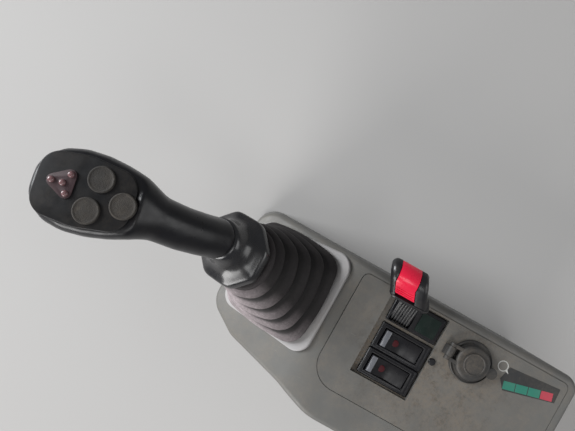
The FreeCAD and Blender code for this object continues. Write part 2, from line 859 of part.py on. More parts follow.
def make_marker_lens():
    body = new_body("marker_lens")
    profile = sketch(body, BEZEL_TOP)
    plate = box_loop(profile, "lock_centre",
                     "switch_along - lock_long / 2 + marker_long / 2 + 4",
                     "marker_wide", "marker_long")
    pad(body, profile, "lens_proud * 2")
    soften(body, "1.5", upright(plate))


make_marker_lens()


# Capped socket and the small hole plug

def make_socket():
    tube = new_body("socket_tube")
    profile = sketch(tube, "pod_height")
    circle(profile, "socket_across", "socket_along", "socket_tube")
    pad(tube, profile, "socket_deep", back=True)
    bore = sketch(tube, "pod_height")
    circle(bore, "socket_across", "socket_along", "socket_bore")
    pocket(tube, bore, "socket_deep - 6")
    stud = sketch(tube, "pod_height - socket_deep")
    circle(stud, "socket_across", "socket_along", "6")
    pad(tube, stud, "10", back=True)

    ring = new_body("socket_ring")
    profile = sketch(ring, "pod_height")
    circle(profile, "socket_across", "socket_along", "socket_ring")
    circle(profile, "socket_across", "socket_along", "socket_bore")
    pad(ring, profile, "socket_ring_high")
    soften(ring, "1.2", at_level("pod_height + socket_ring_high"))
    step = sketch(ring, "pod_height + socket_ring_high")
    circle(step, "socket_across", "socket_along", "socket_step + 3")
    circle(step, "socket_across", "socket_along", "socket_step - 1")
    pocket(ring, step, "1")
    foot = sketch(ring, "pod_height")
    box_loop(foot, "socket_across", "socket_along + cap_hinge_reach", "cap_block_wide",
             "cap_knuckle + 2")
    pad(ring, foot, "cap_hinge_high")
    barrel = sketch(ring, "socket_across - cap_block_wide / 2", "YZ_Plane")
    circle(barrel, "socket_along + cap_hinge_reach", "pod_height + cap_hinge_high",
           "cap_knuckle")
    pad(ring, barrel, "cap_block_wide")
    pin = sketch(ring, "socket_across - cap_block_wide", "YZ_Plane")
    circle(pin, "socket_along + cap_hinge_reach", "pod_height + cap_hinge_high", "2.7")
    pocket(ring, pin, "2 * cap_block_wide", back=True)


def make_cap():
    body = new_body("socket_cap")
    rest = "pod_height + socket_ring_high + fit"
    disc = sketch(body, rest)
    circle(disc, "socket_across", "socket_along", "cap_disc")
    pad(body, disc, "cap_high")
    soften(body, "cap_round", at_level(f"{rest} + cap_high"))
    crown = sketch(body, f"{rest} + cap_high")
    circle(crown, "socket_across", "socket_along", "cap_crown")
    pad(body, crown, "cap_crown_high")
    soften(body, "cap_crown_high / 2", at_level(f"{rest} + cap_high + cap_crown_high"))
    tab = sketch(body, rest)
    circle(tab, "socket_across", "socket_along - cap_tab_reach", "cap_tab")
    pad(body, tab, "cap_high / 2")
    # two arms reach over to the knuckles beside the hinge block
    for side in ("-", "+"):
        middle = f"socket_across {side} (cap_block_wide / 2 + fit + 1.5)"
        arm = sketch(body, rest)
        loop(arm, [(f"{middle} - 1.5", "socket_along + cap_disc / 2 - 5"),
                   (f"{middle} + 1.5", "socket_along + cap_disc / 2 - 5"),
                   (f"{middle} + 1.5", "socket_along + cap_hinge_reach"),
                   (f"{middle} - 1.5", "socket_along + cap_hinge_reach")])
        pad(body, arm, "cap_high * 0.8")
        knuckle = sketch(body, f"{middle} - 1.5", "YZ_Plane")
        circle(knuckle, "socket_along + cap_hinge_reach",
               "pod_height + cap_hinge_high", "cap_knuckle - 1")
        pad(body, knuckle, "3")
    pin = sketch(body, "socket_across - cap_block_wide / 2 - fit - 1", "YZ_Plane")
    circle(pin, "socket_along + cap_hinge_reach", "pod_height + cap_hinge_high", "2.6")
    pad(body, pin, "cap_block_wide + 2 * fit + 2")


def make_hole_plug():
    body = new_body("hole_plug")
    head = sketch(body, "pod_height")
    circle(head, "plug_across", "plug_along", "plug_head")
    pad(body, head, "1.4")
    soften(body, "0.8", at_level("pod_height + 1.4"))
    shank = sketch(body, "pod_height")
    circle(shank, "plug_across", "plug_along", "plug_head - 2.2")
    pad(body, shank, "cover_thick + 2", back=True)


make_socket()
make_cap()
make_hole_plug()


# Joystick base: a housing under the slope that carries the gimbal ring

def make_boot_collar():
    body = new_body("boot_collar")
    profile = sketch(body)
    half = "collar_side / 2"
    outer = loop(profile, [(f"-{half}", f"-{half}"), (half, f"-{half}"),
                           (f"{half} - collar_taper", half), (f"-{half}", half)])
    inner = box_loop(profile, "0", "0", "collar_mouth", "collar_mouth")
    pad(body, profile, "collar_thick")
    soften(body, "collar_corner", upright(outer))
    soften(body, "collar_corner - 4", upright(inner))
    soften(body, "collar_edge", at_level("collar_thick"))
    body.Placement = STICK


def make_joystick_housing():
    body = new_body("joystick_housing")
    top = "-wall"
    pivot = "-pivot_drop"
    case = sketch(body, top)
    outer = box_loop(case, "0", "0", "housing_side", "housing_side")
    pad(body, case, "housing_deep", back=True)
    soften(body, "housing_corner", upright(outer))
    well = sketch(body, top)
    circle(well, "0", "0", "housing_well")
    pocket(body, well, "housing_well_deep")
    # two bosses reach in from the wall of the well to the ring's trunnions
    for side in ("-", ""):
        boss = sketch(body, f"{side}boss_gap", "YZ_Plane")
        circle(boss, "0", pivot, "boss")
        pad(body, boss, "housing_side / 2 - boss_gap - boss_sunk", back=side == "-")
    bore = sketch(body, "0", "YZ_Plane")
    circle(bore, "0", pivot, "trunnion + 2 * trunnion_clear")
    pocket(body, bore, "2 * (boss_gap + trunnion_reach + trunnion_end)", middle=True)
    socket = sketch(body, f"{top} - housing_deep")
    box_loop(socket, "0", "-housing_side / 4", "connector_wide", "connector_long")
    pad(body, socket, "connector_high", back=True)
    pins = sketch(body, f"{top} - housing_deep - connector_high")
    box_loop(pins, "0", "-housing_side / 4", "connector_wide - 2 * connector_wall",
             "connector_long - 2 * connector_wall")
    pocket(body, pins, "connector_high - connector_wall", back=True)
    body.Placement = STICK


def make_gimbal_ring():
    body = new_body("gimbal_ring")
    profile = sketch(body, "-pivot_drop - ring_high / 2")
    circle(profile, "0", "0", "ring_outer")
    pad(body, profile, "ring_high")
    pin = sketch(body, "0", "YZ_Plane")
    circle(pin, "0", "-pivot_drop", "trunnion")
    pad(body, pin, "2 * (boss_gap + trunnion_reach)", middle=True)
    hole = sketch(body, "-pivot_drop + ring_high")
    circle(hole, "0", "0", "ring_inner")
    pocket(body, hole, "2 * ring_high")
    cross = sketch(body, "0", "XZ_Plane")
    circle(cross, "0", "-pivot_drop", "trunnion + 2 * trunnion_clear")
    pocket(body, cross, "2 * ring_outer", middle=True)
    body.Placement = STICK


def stem_path():
    """The stem's centre line: up from the pivot, then leaning after one bend."""
    foot = Vector(0, 0, -size("pivot_drop"))
    knee = Vector(0, 0, size("stem_straight"))
    head = Vector(size("stem_end_across"), size("stem_end_along"), size("stem_end_high"))
    down, onward = (foot - knee).normalize(), (head - knee).normalize()
    half = down.getAngle(onward) / 2
    reach = size("stem_bend") / math.tan(half)
    sagitta = size("stem_bend") / math.sin(half) - size("stem_bend")
    begin, finish = knee + down * reach, knee + onward * reach
    middle = knee + (down + onward).normalize() * sagitta
    return Part.Wire([Part.LineSegment(foot, begin).toShape(),
                      Part.Arc(begin, middle, finish).toShape(),
                      Part.LineSegment(finish, head).toShape()])


def stem_solid(radius):
    """A round bar along the stem's centre line."""
    start = Vector(0, 0, -size("pivot_drop"))
    profile = Part.Wire([Part.Circle(start, Vector(0, 0, 1), radius).toShape()])
    return stem_path().makePipeShell([profile], True, False)


def make_lever_stem():
    pivot = -size("pivot_drop")
    high = size("hub_high")
    hub = Part.makeCylinder(size("hub") / 2, high, Vector(0, 0, pivot - high / 2))
    tail = Part.makeCylinder(size("stem") / 3, high, Vector(0, 0, pivot - high))
    reach = size("ring_outer") / 2 - 0.5
    pin = Part.makeCylinder(size("trunnion") / 2, 2 * reach, Vector(0, -reach, pivot),
                            Vector(0, 1, 0))
    stem = stem_solid(size("stem") / 2).fuse([hub, tail, pin])
    feature("lever_stem", stem.removeSplitter(), STICK)


make_boot_collar()
make_joystick_housing()
make_gimbal_ring()
make_lever_stem()


# Bellows boot: folds between rounded squares that turn rounder on the way up

def boot_centre(high):
    """Centre of the boot at a height: above its foot it leans with the stem."""
    if high <= size("boot_foot_high"):
        return Vector(0, 0, high)
    share = high / size("clamp_low")
    start = size("boot_back_across")
    return Vector(start + (size("boot_lean_across") - start) * share,
                  size("boot_lean_along") * share ** 1.4, high)


def boot_wires(inset):
    """Sections of the boot's outside, or of its inside where inset is the wall."""
    count = int(size("ridge_count"))
    first, last = size("ridge_first"), size("ridge_last")
    pitch, low = size("ridge_pitch"), size("ridge_first_high")
    top = size("clamp_low") - size("fit")
    # columns: height above the slope, width across, share of the way up
    rows = [(size("fit"), size("boot_foot"), 0.0),
            (size("boot_foot_high"), size("boot_foot"), 0.0)]
    for index in range(count):
        share = index / (count - 1)
        wide = first + (last - first) * share
        high = low + pitch * index
        rows.append((high, wide, share))
        if index < count - 1:
            rows.append((high + pitch * size("fold_back"),
                         wide - 2 * size("fold_deep") + (last - first) / count / 2,
                         share + 0.5 / count))
    rows.append((top, size("boot_top"), 1.0))
    wires = []
    for high, wide, share in rows:
        corner = size("boot_corner_low") + share * (size("boot_corner_high")
                                                    - size("boot_corner_low"))
        side = wide - 2 * inset
        wires.append(section(boot_centre(high), Vector(0, 0, 1), Vector(1, 0, 0), side,
                             side, max(2.0, min(corner - inset, side / 2 - 0.5))))
    if inset:
        wires[0].translate(Vector(0, 0, -1))
        wires[-1].translate(Vector(0, 0, 1))
    return wires


feature("boot", ruled(boot_wires(0)).cut(ruled(boot_wires(size("boot_wall")))), STICK)


# Octagonal clamp that holds the top of the boot to the stem

def clamp_axis(high):
    """Centre of the clamp and of the stem at a height above the slope."""
    knee = size("stem_straight")
    share = (high - knee) / (size("stem_end_high") - knee)
    return Vector(size("stem_end_across") * share, size("stem_end_along") * share, high)


def make_boot_clamp():
    low = size("clamp_low")
    rim_top = low + size("clamp_rim_high")
    flats = size("clamp_flats")
    step = 2 * size("clamp_rim_step")
    top = low + size("clamp_high")
    cap = top + size("clamp_cap_high")
    rim = ruled([regular(clamp_axis(low), flats),
                 regular(clamp_axis(rim_top), flats)])
    skirt = ruled([regular(clamp_axis(rim_top), flats - step),
                   regular(clamp_axis(top), size("clamp_top_flats")),
                   regular(clamp_axis(cap), size("clamp_cap_flats"))])
    spigot = Part.makeCylinder(size("clamp_spigot") / 2, size("clamp_spigot_long") + 1,
                               clamp_axis(low) - Vector(0, 0, size("clamp_spigot_long")))
    clamp = rim.fuse([skirt, spigot])
    feature("boot_clamp", clamp.cut(stem_solid(size("stem") / 2 + 0.05))
            .removeSplitter(), STICK)


make_boot_clamp()


# Grip: a round neck that sweeps forward into a broad head with a flat face

def grip_frame():
    """Placement of the head: x across it, y towards its tip, z out of its face."""
    turn = FreeCAD.Rotation(Vector(0, 0, 1), size("grip_yaw")).multiply(
        FreeCAD.Rotation(Vector(1, 0, 0), 90 - size("grip_tilt")))
    return FreeCAD.Placement(Vector(size("grip_across"), size("grip_along"),
                                    size("grip_high")), turn)


GRIP = grip_frame()
ON_GRIP = STICK.multiply(GRIP)

# Neck sections: height above the slope, across, along, tilt towards the front
NECK = (
    (105.5, 14, 24, 0),
    (120, 12, 28.5, 22),
    (138, 10.5, 34.5, 27),
    (156, 10.5, 41.5, 36),
)
# Head sections: place along the head, share of the full width and thickness
HEAD = (
    (-27, 0.76, 1.05),
    (-14, 0.90, 1.03),
    (0, 0.99, 1.00),
    (14, 1.00, 0.97),
    (26, 0.90, 0.90),
    (34.5, 0.68, 0.76),
    (39.5, 0.40, 0.52),
)


def make_grip():
    sections = []
    neck = size("grip_neck")
    for high, across, along, tilt in NECK:
        angle = math.radians(tilt)
        sections.append(section(Vector(across, along, high),
                                Vector(0, math.sin(angle), math.cos(angle)),
                                Vector(1, 0, 0), neck, neck, neck * 0.45))
    forward = GRIP.Rotation.multVec(Vector(0, 1, 0))
    side = GRIP.Rotation.multVec(Vector(1, 0, 0))
    for place, wide_share, thick_share in HEAD:
        wide, thick = size("grip_wide") * wide_share, size("grip_thick") * thick_share
        sections.append(section(GRIP.multVec(Vector(0, place, 0)), forward, side,
                                wide, thick, size("grip_round") * thick_share))
    grip = ruled(sections)
    # the face is planed flat for its plate
    half = size("grip_wide")
    plane = block(-half, half, -size("face_back") - 3, half, size("face_rise"), half)
    plane.Placement = GRIP
    feature("grip", grip.cut(plane), STICK)


def face_corners(inset):
    """The face plate's outline in the head's frame."""
    half = size("grip_wide") / 2 - inset
    back, front, rise = -size("face_back"), size("face_front"), size("face_rise")
    return [Vector(-half * 0.80, back, rise), Vector(half * 0.80, back, rise),
            Vector(half, size("face_widest"), rise), Vector(half * 0.86, front, rise),
            Vector(-half * 0.86, front, rise), Vector(-half, size("face_widest"), rise)]


def make_grip_face():
    corner = size("face_corner")
    flank = size("face_flank")
    plate = Part.Face(rounded_loop(face_corners(size("face_inset")), [
        corner, corner, flank, corner, corner, flank])).extrude(
            Vector(0, 0, size("face_thick")))
    feature("grip_face", plate, ON_GRIP)


# Thumb buttons: place across and along the head
BUTTONS = (
    ("left", -10.5, -0.6),
    ("right", 10.2, -3.4),
    ("rear", -1.8, -20.6),
)


def make_buttons():
    level = size("face_rise") + size("face_thick")
    for name, across, along in BUTTONS:
        button = Part.makeCylinder(size("button") / 2, size("button_high"),
                                   Vector(across, along, level))
        button = button.makeFillet(size("button_high") / 2, [
            edge for edge in button.Edges
            if abs(edge.BoundBox.ZMin - level - size("button_high")) < 0.01])
        feature(f"{name}_button", button, ON_GRIP)

    middle = Vector(size("cluster_across"), size("cluster_along"), level)
    radius = size("cluster_side") / math.sqrt(3)
    points = [middle + Vector(math.sin(math.radians(120 * n)) * radius,
                              math.cos(math.radians(120 * n)) * radius, 0)
              for n in range(3)]
    plate = Part.Face(rounded_loop(points, [size("cluster_corner")] * 3)).extrude(
        Vector(0, 0, size("cluster_high")))
    nubs = [Part.makeCone(size("nub") / 2, size("nub") / 3, size("nub_high"),
                          middle + (point - middle) * share
                          + Vector(0, 0, size("cluster_high")))
            for point, share in [(points[0], 0.5), (points[1], 0.5), (points[2], 0.5),
                                 (points[0], 0.0)]]
    feature("signal_cluster", plate.fuse(nubs), ON_GRIP)


make_grip()
make_grip_face()
make_buttons()


# Check every object, then write one file for each piece

DOC.recompute()
failed = [item.Name for item in DOC.Objects
          if "Invalid" in item.State or "Error" in item.State]
if failed:
    raise RuntimeError(f"objects that did not build: {failed}")
pieces = [item for item in DOC.Objects if item.TypeId in
          ("PartDesign::Body", "Part::Feature")]
for item in pieces:
    if item.Shape.isNull() or not item.Shape.isValid():
        raise RuntimeError(f"{item.Label} has no valid shape")
os.makedirs("parts", exist_ok=True)
for item in pieces:
    box = item.Shape.BoundBox
    print(f"{item.Label}: {len(item.Shape.Solids)} solid, {len(item.Shape.Faces)} faces, "
          f"x {box.XMin:.1f} {box.XMax:.1f} y {box.YMin:.1f} {box.YMax:.1f} "
          f"z {box.ZMin:.1f} {box.ZMax:.1f}")
    item.Shape.exportStep(f"parts/{item.Label}.step")
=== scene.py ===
# %% [markdown]
# # Right-hand control console of a skid steer loader
#
# The console is a moulded pod beside the seat: a joystick in a bellows boot, two rocker
# switches, a locking paddle with a red catch, and a socket under a cap. Its solids were
# drawn in CAD and are loaded here as a fixed frame. What CAD leaves plain is made in these
# cells: folded rubber, soft moulded forms, rounded edges, dust, wear and printed marks,
# and some painted light and shade.

# %% Load the imported model
import json
import math

import bmesh
import bpy
from mathutils import Matrix, Vector

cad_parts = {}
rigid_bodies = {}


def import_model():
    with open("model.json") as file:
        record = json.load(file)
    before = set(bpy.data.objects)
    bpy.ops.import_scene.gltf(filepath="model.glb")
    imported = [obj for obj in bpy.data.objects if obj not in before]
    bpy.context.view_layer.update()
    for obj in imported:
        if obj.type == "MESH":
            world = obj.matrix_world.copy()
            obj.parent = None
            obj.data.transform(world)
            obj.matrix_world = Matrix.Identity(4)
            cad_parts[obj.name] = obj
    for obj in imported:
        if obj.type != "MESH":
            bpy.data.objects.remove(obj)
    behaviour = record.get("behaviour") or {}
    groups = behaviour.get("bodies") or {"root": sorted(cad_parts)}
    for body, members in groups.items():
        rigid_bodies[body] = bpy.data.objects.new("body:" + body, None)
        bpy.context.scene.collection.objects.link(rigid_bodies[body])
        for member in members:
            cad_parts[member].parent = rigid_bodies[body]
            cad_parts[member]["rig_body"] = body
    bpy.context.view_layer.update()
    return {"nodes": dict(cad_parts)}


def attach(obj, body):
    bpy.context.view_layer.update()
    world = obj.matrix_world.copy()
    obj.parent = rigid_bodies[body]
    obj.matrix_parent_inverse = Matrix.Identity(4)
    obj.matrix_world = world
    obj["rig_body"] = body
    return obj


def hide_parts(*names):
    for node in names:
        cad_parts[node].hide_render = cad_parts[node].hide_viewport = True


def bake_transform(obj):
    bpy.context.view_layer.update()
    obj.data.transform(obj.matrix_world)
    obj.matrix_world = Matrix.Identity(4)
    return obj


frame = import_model()
nodes = frame["nodes"]
MM = 0.001

# %% [markdown]
# ## The camera
#
# The photograph looks straight down on the console, from about 390 mm above its top, with
# the front of the machine to the left. A camera can be aimed by eye or worked out. Here its
# place and focal length were worked out from known points, because then every piece can be
# compared with the photograph point by point.

# %% Set the camera
PHOTO_WIDTH = 575
FOCAL_PIXELS = 434
SENSOR = 36
# metres and degrees; the camera looks straight down
CAMERA_PLACE, CAMERA_TURN = (0.074, 0.142, 0.518), -60.72
bpy.ops.object.camera_add(location=CAMERA_PLACE,
                          rotation=(0, 0, math.radians(CAMERA_TURN)))
camera = bpy.context.object
camera.name = "photo_camera"
camera.data.sensor_width = SENSOR
camera.data.lens = FOCAL_PIXELS / PHOTO_WIDTH * SENSOR
bpy.context.scene.camera = camera
print("lens in mm:", round(camera.data.lens, 2))

# %% [markdown]
# ## Light and floor
#
# Moulded plastic shows its form by broad, soft reflections. One could use a sky picture,
# but a studio is steadier: an even grey world, a large lamp at the front, one from
# inboard and weak ones above and behind. They are wide, so that the edges of glossy
# parts carry long highlights, and the lever throws a soft shadow over the rear of the
# boot. The world looks paler than it lights, which keeps dark plastics dark. The floor
# is pale and dull, and shows the object's shadow.

# %% The grey world
# strength on surfaces, and as the camera and reflections see it
WORLD_LIGHT, WORLD_SEEN = 0.10, 0.26
world = bpy.data.worlds.new("studio")
bpy.context.scene.world = world
world.use_nodes = True
background = world.node_tree.nodes["Background"]
background.inputs["Color"].default_value = (0.93, 0.96, 1.0, 1)
strength = world.node_tree.nodes.new("ShaderNodeMapRange")
strength.inputs["To Min"].default_value = WORLD_LIGHT
strength.inputs["To Max"].default_value = WORLD_SEEN
world.node_tree.links.new(strength.outputs["Result"], background.inputs["Strength"])
rays = world.node_tree.nodes.new("ShaderNodeLightPath")
seen = None
for kind in ("Is Camera Ray", "Is Glossy Ray", "Is Transmission Ray"):
    either = world.node_tree.nodes.new("ShaderNodeMath")
    either.operation = "MAXIMUM"
    either.inputs[0].default_value = 0.0
    world.node_tree.links.new(rays.outputs[kind], either.inputs[1])
    if seen:
        world.node_tree.links.new(seen, either.inputs[0])
    seen = either.outputs[0]
world.node_tree.links.new(seen, strength.inputs["Value"])
bpy.context.scene.view_settings.view_transform = "Standard"
print("world strength:", WORLD_LIGHT, WORLD_SEEN)

# %% The lamps
# degrees; narrow enough to keep the floor under a lamp from glaring
SPREAD = 100


def lamp(name, place, aim, wide, power, colour=(1, 1, 1)):
    """A square lamp of a given width that shines from place to aim."""
    direction = Vector(aim) - Vector(place)
    bpy.ops.object.light_add(type="AREA", location=place,
                             rotation=direction.to_track_quat("-Z", "Y").to_euler())
    light = bpy.context.object
    light.name = name
    light.visible_camera = False
    light.data.size = wide
    light.data.energy = power
    light.data.color = colour
    light.data.spread = math.radians(SPREAD)


lamp("inboard_light", (-2.00, 0.45, 0.95), (0, 0.06, 0.13), 1.25, 11.5,
     (1.0, 0.99, 0.98))
lamp("front_light", (0.05, 2.15, 1.00), (0, 0.10, 0.13), 1.20, 22.0,
     (0.96, 0.98, 1.0))
lamp("roof_light", (-0.80, -0.60, 2.4), (0, 0.0, 0.1), 0.9, 2.4)
lamp("rear_light", (0.50, -2.30, 1.20), (0, 0.0, 0.1), 1.60, 5.0)
print("lamps:", len(bpy.data.lights))

# %% The floor
bpy.ops.object.select_all(action="DESELECT")
bpy.ops.mesh.primitive_plane_add(size=6, location=(0, 0, -0.0005))
floor = bpy.context.object
floor.name = "studio_floor"
floor_paint = bpy.data.materials.new("floor_paint")
floor_paint.use_nodes = True
shader = floor_paint.node_tree.nodes["Principled BSDF"]
shader.inputs["Base Color"].default_value = (0.52, 0.51, 0.50, 1)
shader.inputs["Roughness"].default_value = 1.0
shader.inputs["Specular IOR Level"].default_value = 0.0
floor.data.materials.append(floor_paint)
print("floor painted")

# %% [markdown]
# ## Finishes
#
# Every moulded part shows three things at close range: a fine grain from its mould, a
# slow change of tone over its surface, and dust that settles on what faces up. Each could
# be painted by hand, but one recipe with a few numbers keeps the parts of one machine
# alike. It reads Object coordinates, so that the pattern is fixed to the part.

# %% Shader helpers
def node(tree, kind, **values):
    """Add a shader node and set its inputs by name."""
    made = tree.nodes.new(kind)
    for key, value in values.items():
        made.inputs[key.replace("_", " ")].default_value = value
    return made


def feed(tree, socket, value):
    """Link a socket to an input, or set the input to a number or a colour."""
    if hasattr(value, "links"):
        tree.links.new(value, socket)
    else:
        socket.default_value = value


def blend_colours(tree, factor, first, second):
    """Mix two colours; each is a socket or four numbers."""
    made = tree.nodes.new("ShaderNodeMix")
    made.data_type = "RGBA"
    for slot, value in ((0, factor), (6, first), (7, second)):
        feed(tree, made.inputs[slot], value)
    return made.outputs[2]


def compute(tree, operation, first, second):
    """One step of arithmetic on sockets or numbers."""
    made = tree.nodes.new("ShaderNodeMath")
    made.operation = operation
    made.use_clamp = operation == "MULTIPLY"
    feed(tree, made.inputs[0], first)
    feed(tree, made.inputs[1], second)
    return made.outputs[0]


def remap(tree, value, low, high, out_low=0.0, out_high=1.0):
    """Stretch a range of a value to another range."""
    made = node(tree, "ShaderNodeMapRange", From_Min=low, From_Max=high,
                To_Min=out_low, To_Max=out_high)
    tree.links.new(value, made.inputs["Value"])
    return made.outputs["Result"]


def noise(tree, coordinates, scale, detail=3.0, roughness=0.55):
    """A cloudy pattern between 0 and 1."""
    made = node(tree, "ShaderNodeTexNoise", Scale=scale, Detail=detail,
                Roughness=roughness)
    tree.links.new(coordinates, made.inputs["Vector"])
    return made.outputs["Fac"]


print("helpers ready")

# %% The moulded finish
DRY_DUST = (0.260, 0.205, 0.150, 1)
GRIME = (0.040, 0.031, 0.022, 1)


def moulded(name, colour, rough, mottle=0.10, grain=1400, grain_depth=0.15, dust=0.3,
            dust_and_light_colour=DRY_DUST, coat=0.0, metallic=0.0, scuffs=0.0, extra_dust_and_light=None,
            shine=0.5, stain=None):
    """A moulded or cast finish with grain, a slow change of tone, scuffs, dust and any
    painted light.
    """
    material = bpy.data.materials.new(name)
    material.use_nodes = True
    tree = material.node_tree
    shader = tree.nodes["Principled BSDF"]
    place = tree.nodes.new("ShaderNodeTexCoord")
    where = place.outputs["Object"]
    facing = tree.nodes.new("ShaderNodeSeparateXYZ")
    tree.links.new(place.outputs["Normal"], facing.inputs[0])

    tone = remap(tree, noise(tree, where, 22, 4), 0.3, 0.7)
    dark = [channel * (1 - mottle) for channel in colour[:3]] + [1]
    pale = [min(1, channel * (1 + mottle)) for channel in colour[:3]] + [1]
    surface = blend_colours(tree, tone, dark, pale)
    roughness = remap(tree, noise(tree, where, 160, 3), 0.3, 0.7,
                      max(0.05, rough - 0.06), min(1, rough + 0.06))
    if scuffs:
        # long thin scratches: noise that is stretched along one way
        stretch = node(tree, "ShaderNodeMapping", Scale=(900, 40, 300),
                       Rotation=(0.0, 0.0, 0.6))
        tree.links.new(where, stretch.inputs["Vector"])
        lines = remap(tree, noise(tree, stretch.outputs[0], 1.0, 2), 0.68, 0.76)
        lines = compute(tree, "MULTIPLY", lines,
                        remap(tree, noise(tree, where, 35, 2), 0.45, 0.6, 0, scuffs))
        surface = blend_colours(tree, lines, surface,
                                [min(1, c * 2.2 + 0.03) for c in colour[:3]] + [1])
    if stain:
        surface = blend_colours(tree, stain(tree, where, facing), surface, GRIME)
    if dust:
        upward = remap(tree, facing.outputs["Z"], 0.15, 0.95)
        cloud = remap(tree, noise(tree, where, 48, 6, 0.68), 0.40, 0.72)
        specks = remap(tree, noise(tree, where, 420, 4, 0.7), 0.40, 0.62, 0.35, 1.0)
        mask = compute(tree, "MULTIPLY", compute(tree, "MULTIPLY", cloud, specks), upward)
        mask = compute(tree, "MULTIPLY", mask, dust)
        # an extra mask adds dust, and on the boot painted light and shade as well
        if extra_dust_and_light:
            mask = compute(tree, "MAXIMUM", mask, extra_dust_and_light(tree, where, facing, specks))
        surface = blend_colours(tree, mask, surface, dust_and_light_colour)
        roughness = compute(tree, "MAXIMUM", roughness,
                            remap(tree, mask, 0.05, 0.5, 0.0, 0.92))
    tree.links.new(surface, shader.inputs["Base Color"])
    tree.links.new(roughness, shader.inputs["Roughness"])
    bump = node(tree, "ShaderNodeBump", Strength=grain_depth, Distance=0.0004)
    tree.links.new(noise(tree, where, grain, 2), bump.inputs["Height"])
    tree.links.new(bump.outputs["Normal"], shader.inputs["Normal"])
    shader.inputs["Metallic"].default_value = metallic
    shader.inputs["Specular IOR Level"].default_value = shine
    shader.inputs["Coat Weight"].default_value = coat
    shader.inputs["Coat Roughness"].default_value = 0.12
    return material


print("moulded finish ready")


# %% [markdown]
# The control plate is dustier than the rest: fine brown dust lies around the switches and
# the socket and packs into the recess. A mask that fades with the distance from the
# recess, broken up by noise, puts it where fingers don't wipe it away.

# %% Dust round the switches and the socket
# metres: the middle of the recess, the level of the plate and of the recess's floor
RECESS_MIDDLE, PLATE_LEVEL, RECESS_LEVEL = (0.022, -0.035, 0.126), 0.1292, 0.1270


def plate_reach(tree, where, far, near, most):
    """A mask that is highest at the recess and falls to nothing away from it."""
    shift = node(tree, "ShaderNodeMapping", Location=tuple(-v for v in RECESS_MIDDLE))
    tree.links.new(where, shift.inputs["Vector"])
    reach = tree.nodes.new("ShaderNodeVectorMath")
    reach.operation = "LENGTH"
    tree.links.new(shift.outputs[0], reach.inputs[0])
    return remap(tree, reach.outputs["Value"], far, near, 0.0, most)


def plate_grime(tree, where, facing):
    """Old oily dirt in blotches and grains round the switches and the socket."""
    near = plate_reach(tree, where, 0.095, 0.030, 1.0)
    blotch = remap(tree, noise(tree, where, 70, 8, 0.75), 0.47, 0.60, 0.0, 0.75)
    grain = remap(tree, noise(tree, where, 380, 4, 0.75), 0.44, 0.58, 0.25, 1.0)
    return compute(tree, "MULTIPLY", compute(tree, "MULTIPLY", near, blotch), grain)


def plate_dust(tree, where, facing, specks):
    """Dust that lies thickest in the recess and thins out towards the rear."""
    near = plate_reach(tree, where, 0.105, 0.035, 0.70)
    cloud = remap(tree, noise(tree, where, 30, 6, 0.7), 0.36, 0.66, 0.25, 1.0)
    split = tree.nodes.new("ShaderNodeSeparateXYZ")
    tree.links.new(where, split.inputs[0])
    sunk = remap(tree, split.outputs["Z"], PLATE_LEVEL, RECESS_LEVEL)
    rear = remap(tree, split.outputs["Y"], 0.045, -0.005, 0.0, 1.0)
    mask = compute(tree, "MULTIPLY", compute(tree, "MAXIMUM", compute(
        tree, "MULTIPLY", near, rear), sunk), cloud)
    upward = remap(tree, facing.outputs["Z"], 0.1, 0.9)
    return compute(tree, "MULTIPLY", compute(tree, "MULTIPLY", mask, upward), specks)


def fold_dust_and_light(tree, where, facing, specks):
    """Dust and painted light and shade on the boot's folds, by the share in its mesh."""
    share = tree.nodes.new("ShaderNodeAttribute")
    share.attribute_name = "dust_and_light_share"
    cloud = remap(tree, noise(tree, where, 40, 5, 0.7), 0.34, 0.62, 0.65, 1.0)
    grit = remap(tree, specks, 0.35, 1.0, 0.72, 1.0)
    mask = compute(tree, "MULTIPLY", share.outputs["Fac"], cloud)
    return compute(tree, "MULTIPLY", mask, grit)


print("dust masks ready")

# %% [markdown]
# Now each material of the object is one call of the recipe. Their colours were first
# taken from usual plastics and rubbers, then corrected in steps against the photograph,
# because a colour seen there is always mixed with light. The same grey serves the pod
# and its cover, and near blacks differ mostly in how they shine.

